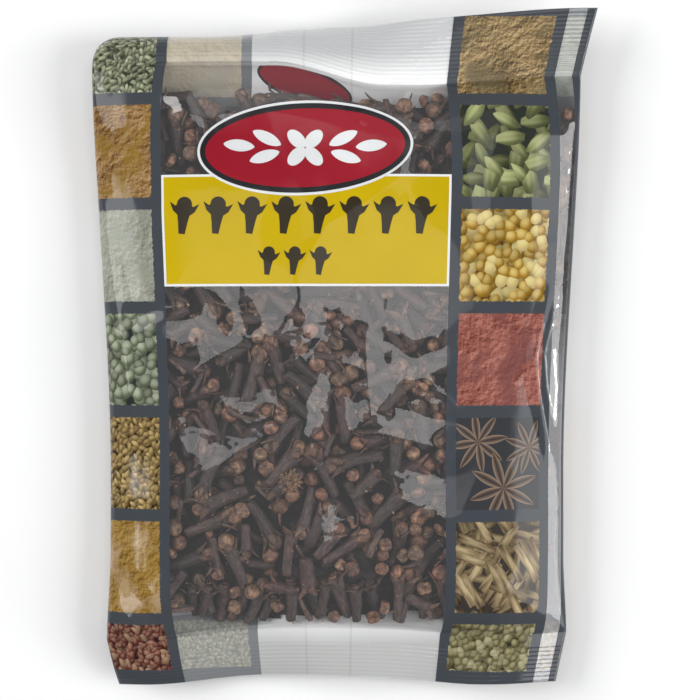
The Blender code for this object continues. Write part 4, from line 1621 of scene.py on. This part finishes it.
def buildCloves():
    stem, stalk, head = cloveColors["stem"], cloveColors["stalk"], cloveColors["head"]
    looks = {
        "bud": ("clove_buds", cloveMaterial("clove_bud_skin", stem, head)),
        "open": ("open_cloves", cloveMaterial("open_clove_skin", stem, head)),
        "stalk": ("clove_stalks", cloveMaterial("clove_stalk_bark", stalk, head)),
        "head": ("loose_bud_heads", cloveMaterial("bud_head_skin", stem, head)),
        "cap": ("petal_caps", cloveMaterial("petal_cap_skin", stem, head)),
    }
    for kind, (name, material) in looks.items():
        (points, faces), tones, barks = gatherCloves(kind)
        piece = newMesh(name, points, faces, [material], tones=tones, barks=barks)
        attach(piece, "root")
        print(name, len(faces), "triangles")


# Crumbs caught between the cloves and the film, and one tuft of stamens; lengths in millimetres
crumbForm = {
    "count": 420,
    "across": (-0.062, 0.062),
    "along": (-0.0795, 0.074),
    "sizes": (0.22, 0.75),
    "under": 0.0022,             # how far below the film a crumb may lie, in metres
    "underSpread": 0.002,        # and how much farther by chance
    "tuftAt": (-0.0130, -0.0365),
    "tuftRadius": 3.7,
    "tuftThreads": 150,
    "threadRadius": 0.09,
    "tuftGap": 0.3,              # between the tuft and the film
    "seed": 21,
}


def crumbShape(draw):
    # a jagged eight-sided chip
    corners = np.array([(1, 0, 0), (-1, 0, 0), (0, 1, 0), (0, -1, 0), (0, 0, 1), (0, 0, -1)], dtype=float)
    reach = draw.uniform(0.45, 1.15, (6, 1))
    corners *= reach * np.array([1.0, draw.uniform(0.4, 0.9), draw.uniform(0.3, 0.7)])
    faces = np.array([(0, 2, 4), (2, 1, 4), (1, 3, 4), (3, 0, 4), (2, 0, 5), (1, 2, 5), (3, 1, 5), (0, 3, 5)])
    return corners, faces


def buildCrumbs():
    draw = np.random.default_rng(crumbForm["seed"])
    shapes, tones, barks = [], [], []
    while len(shapes) < crumbForm["count"]:
        x, y = draw.uniform(*crumbForm["across"]), draw.uniform(*crumbForm["along"])
        cell = gridCell(x, y)
        room = shownHeight(x, y) - heapTop[cell]
        if not insidePack[cell] or room > crumbForm["under"] + crumbForm["underSpread"] * draw.random():
            continue
        shape, triangles = crumbShape(draw)
        size = 0.001 * draw.uniform(*crumbForm["sizes"])
        placed = turnShape(shape * size, *draw.uniform(0, 2 * np.pi, 3))
        placed = seated(placed + np.array([x, y, heapTop[cell]]))
        if placed is None:
            continue
        shapes.append((placed, triangles))
        tones.append(np.tile([draw.random(), 1.0, draw.random(), 1.0], (len(shape), 1)))
        barks.append(shape + draw.uniform(0, 400, 3))
    material = cloveMaterial("clove_crumb_skin", cloveColors["crumb"], cloveColors["crumb"])
    crumbs = newMesh("clove_crumbs", *joined(shapes), [material], tones=np.concatenate(tones),
                     barks=np.concatenate(barks), smoothShade=False)
    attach(crumbs, "root")


def buildTuft():
    # curled threads round a small ball, just under the film
    draw = np.random.default_rng(crumbForm["seed"] + 1)
    radius = 0.001 * crumbForm["tuftRadius"]
    x, y = crumbForm["tuftAt"]
    filmAbove = shownHeight(np.array([x]), np.array([y]))[0]
    centre = np.array([x, y, filmAbove - radius - 0.001 * crumbForm["tuftGap"]])
    thick = 0.001 * crumbForm["threadRadius"]
    shapes = []
    for _ in range(crumbForm["tuftThreads"]):
        way = draw.normal(size=3)
        way[2] = abs(way[2]) * 0.8
        way /= np.linalg.norm(way)
        curl = np.cross(way, draw.normal(size=3))
        rings = []
        for s in np.linspace(0.25, 1.0, 6):
            at = centre + radius * (way * s * draw.uniform(0.85, 1.0) + curl * 0.35 * math.sin(5.0 * s))
            at[2] = min(at[2], centre[2] + radius)
            rings.append(at + thick * np.array([(1, 0, 0), (-0.5, 0.8, 0.3), (-0.5, -0.8, 0.5)]))
        shapes.append(tubeMesh(rings))
    points, faces = joined(shapes)
    tones = np.tile([0.7, 1.0, 0.3, 1.0], (len(points), 1))
    material = cloveMaterial("tuft_threads", cloveColors["tuft"], cloveColors["tuft"])
    tuft = newMesh("stamen_tuft", points, faces, [material], tones=tones, barks=points * 1000.0)
    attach(tuft, "root")


# The dark heart of the heap, under the loose cloves, near black as painted shade between them
coreForm = {
    "step": 2,                   # grid cells to one of its own
    "share": 0.86,               # how far out it reaches, as a share of the pack's half width
    "topMargin": 0.0025,         # from the heap's own ends, in metres
    "footMargin": 0.003,
    "lumps": 0.0030,
    "sunk": 0.0004,              # below the lowest cloves
    "backGap": 0.0005,
    "leastHigh": 0.0003,
    "seed": 8,
}


def buildCore():
    step = coreForm["step"]
    inner = insideHeap & (np.abs(gridShare) < coreForm["share"])
    inner &= (gridY < heapTopEdge - coreForm["topMargin"]) & (gridY > heapFootEdge + coreForm["footMargin"])
    top = np.where(inner, coreTop, 0.0)[::step, ::step]
    draw = np.random.default_rng(coreForm["seed"])
    lumps = blurred(draw.uniform(-1, 1, top.shape), 2) * coreForm["lumps"]
    low = np.where(inner, backLevel, 0.0)[::step, ::step] + coreForm["backGap"]
    inner = inner[::step, ::step]
    high = np.maximum(top + lumps - coreForm["sunk"], low + coreForm["leastHigh"])
    xs, ys = gridX[::step, ::step], gridY[::step, ::step]
    index = -np.ones((2, *xs.shape), dtype=int)
    points = []
    for side, level in ((0, high), (1, low)):
        for r, c in zip(*np.nonzero(inner)):
            index[side, r, c] = len(points)
            points.append((xs[r, c], ys[r, c], level[r, c]))
    above, below = index
    faces = []
    solid = inner[:-1, :-1] & inner[1:, :-1] & inner[:-1, 1:] & inner[1:, 1:]
    for r, c in zip(*np.nonzero(solid)):
        faces.append((above[r, c], above[r, c + 1], above[r + 1, c + 1], above[r + 1, c]))
        faces.append((below[r, c], below[r + 1, c], below[r + 1, c + 1], below[r, c + 1]))
    # near-black colours, painted shade deep in the heap
    material, tree, output = newMaterial("heap_core_painted_shade")
    grain = noiseOn(tree, addNode(tree, "TexCoord").outputs["Object"], 400.0, 4.0)
    dark = cloveColors["core"]
    color = rampOf(tree, grain, [(0.35, dark[0]), (0.55, dark[1]), (0.75, dark[2])])
    finishPrincipled(tree, output, color, 0.8, bump=grain, bumpDistance=0.0006)
    core = newMesh("heap_core", np.array(points), faces, [material])
    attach(core, "root")


buildCloves()
buildCore()
buildCrumbs()
buildTuft()
print("heap made")

# Floor, light and camera
studio = {
    "floorColor": (0.88, 0.88, 0.88),
    "floorHalf": 2.5,
    "floorDrop": 0.0002,         # how far the floor lies under the pack
    "worldColor": (0.97, 0.985, 1.0),
    "worldStrength": 0.26,
    "cameraHeight": 0.56,
    "sensor": 36.0,              # in millimetres
    "fieldWide": 0.196,          # what the picture spans at the pack's middle height, in metres
    "fieldHeight": 0.012,
    "aim": (0.0014, -0.0004),
}

# Soft panels of light: the aimed ones face the pack, the others straight down
panels = {
    "left_window": {"place": (-0.190, 0.085, 0.62), "size": (0.225, 0.200), "bright": 2.0, "aimed": False},
    "right_window": {"place": (0.082, 0.070, 0.62), "size": (0.150, 0.240), "bright": 2.5, "aimed": False},
    "back_glow": {"place": (0.000, 0.360, 0.62), "size": (0.500, 0.300), "bright": 0.8, "aimed": False},
    "right_edge_key": {"place": (1.120, -0.076, 0.62), "size": (0.070, 0.130), "bright": 20.0, "aimed": True},
    "right_low_key": {"place": (1.100, -0.330, 0.34), "size": (0.420, 0.260), "bright": 4.5, "aimed": True},
    "left_edge_key": {"place": (-0.720, -0.060, 0.62), "size": (0.100, 0.060), "bright": 9.0, "aimed": True},
    "left_key": {"place": (-0.95, 0.30, 0.72), "size": (0.70, 0.70), "bright": 6.4, "aimed": True},
    "right_key": {"place": (0.90, -0.20, 0.72), "size": (0.70, 0.70), "bright": 5.4, "aimed": True},
}


def buildFloor():
    half = studio["floorHalf"]
    mesh = bpy.data.meshes.new("floor")
    corners = [(-half, -half, 0), (half, -half, 0), (half, half, 0), (-half, half, 0)]
    mesh.from_pydata(corners, [], [(0, 1, 2, 3)])
    material, tree, output = newMaterial("floor_paper")
    finishPrincipled(tree, output, studio["floorColor"], 0.9)
    mesh.materials.append(material)
    floor = bpy.data.objects.new("floor", mesh)
    floor.location = (0.0, 0.0, -studio["floorDrop"])
    bpy.context.scene.collection.objects.link(floor)


def buildLights():
    world = bpy.data.worlds.new("studio")
    world.use_nodes = True
    background = world.node_tree.nodes["Background"]
    background.inputs[0].default_value = (*studio["worldColor"], 1.0)
    background.inputs[1].default_value = studio["worldStrength"]
    bpy.context.scene.world = world
    for name, panel in panels.items():
        light = bpy.data.lights.new(name, "AREA")
        light.shape = "RECTANGLE"
        light.size, light.size_y = panel["size"]
        light.energy = panel["bright"] * math.pi * panel["size"][0] * panel["size"][1]
        lamp = bpy.data.objects.new(name, light)
        lamp.location = panel["place"]
        if panel["aimed"]:
            x, y, z = panel["place"]
            lamp.rotation_euler = (math.atan2(math.hypot(x, y), z), 0.0, math.atan2(x, -y))
        bpy.context.scene.collection.objects.link(lamp)


def buildCamera():
    camera = bpy.data.cameras.new("camera")
    camera.sensor_width = studio["sensor"]
    away = studio["cameraHeight"] - studio["fieldHeight"]
    camera.lens = camera.sensor_width * away / studio["fieldWide"]
    holder = bpy.data.objects.new("camera", camera)
    holder.location = (*studio["aim"], studio["cameraHeight"])
    bpy.context.scene.collection.objects.link(holder)
    bpy.context.scene.camera = holder
    bpy.context.scene.view_settings.view_transform = "Standard"


buildFloor()
buildLights()
buildCamera()
print("studio set")
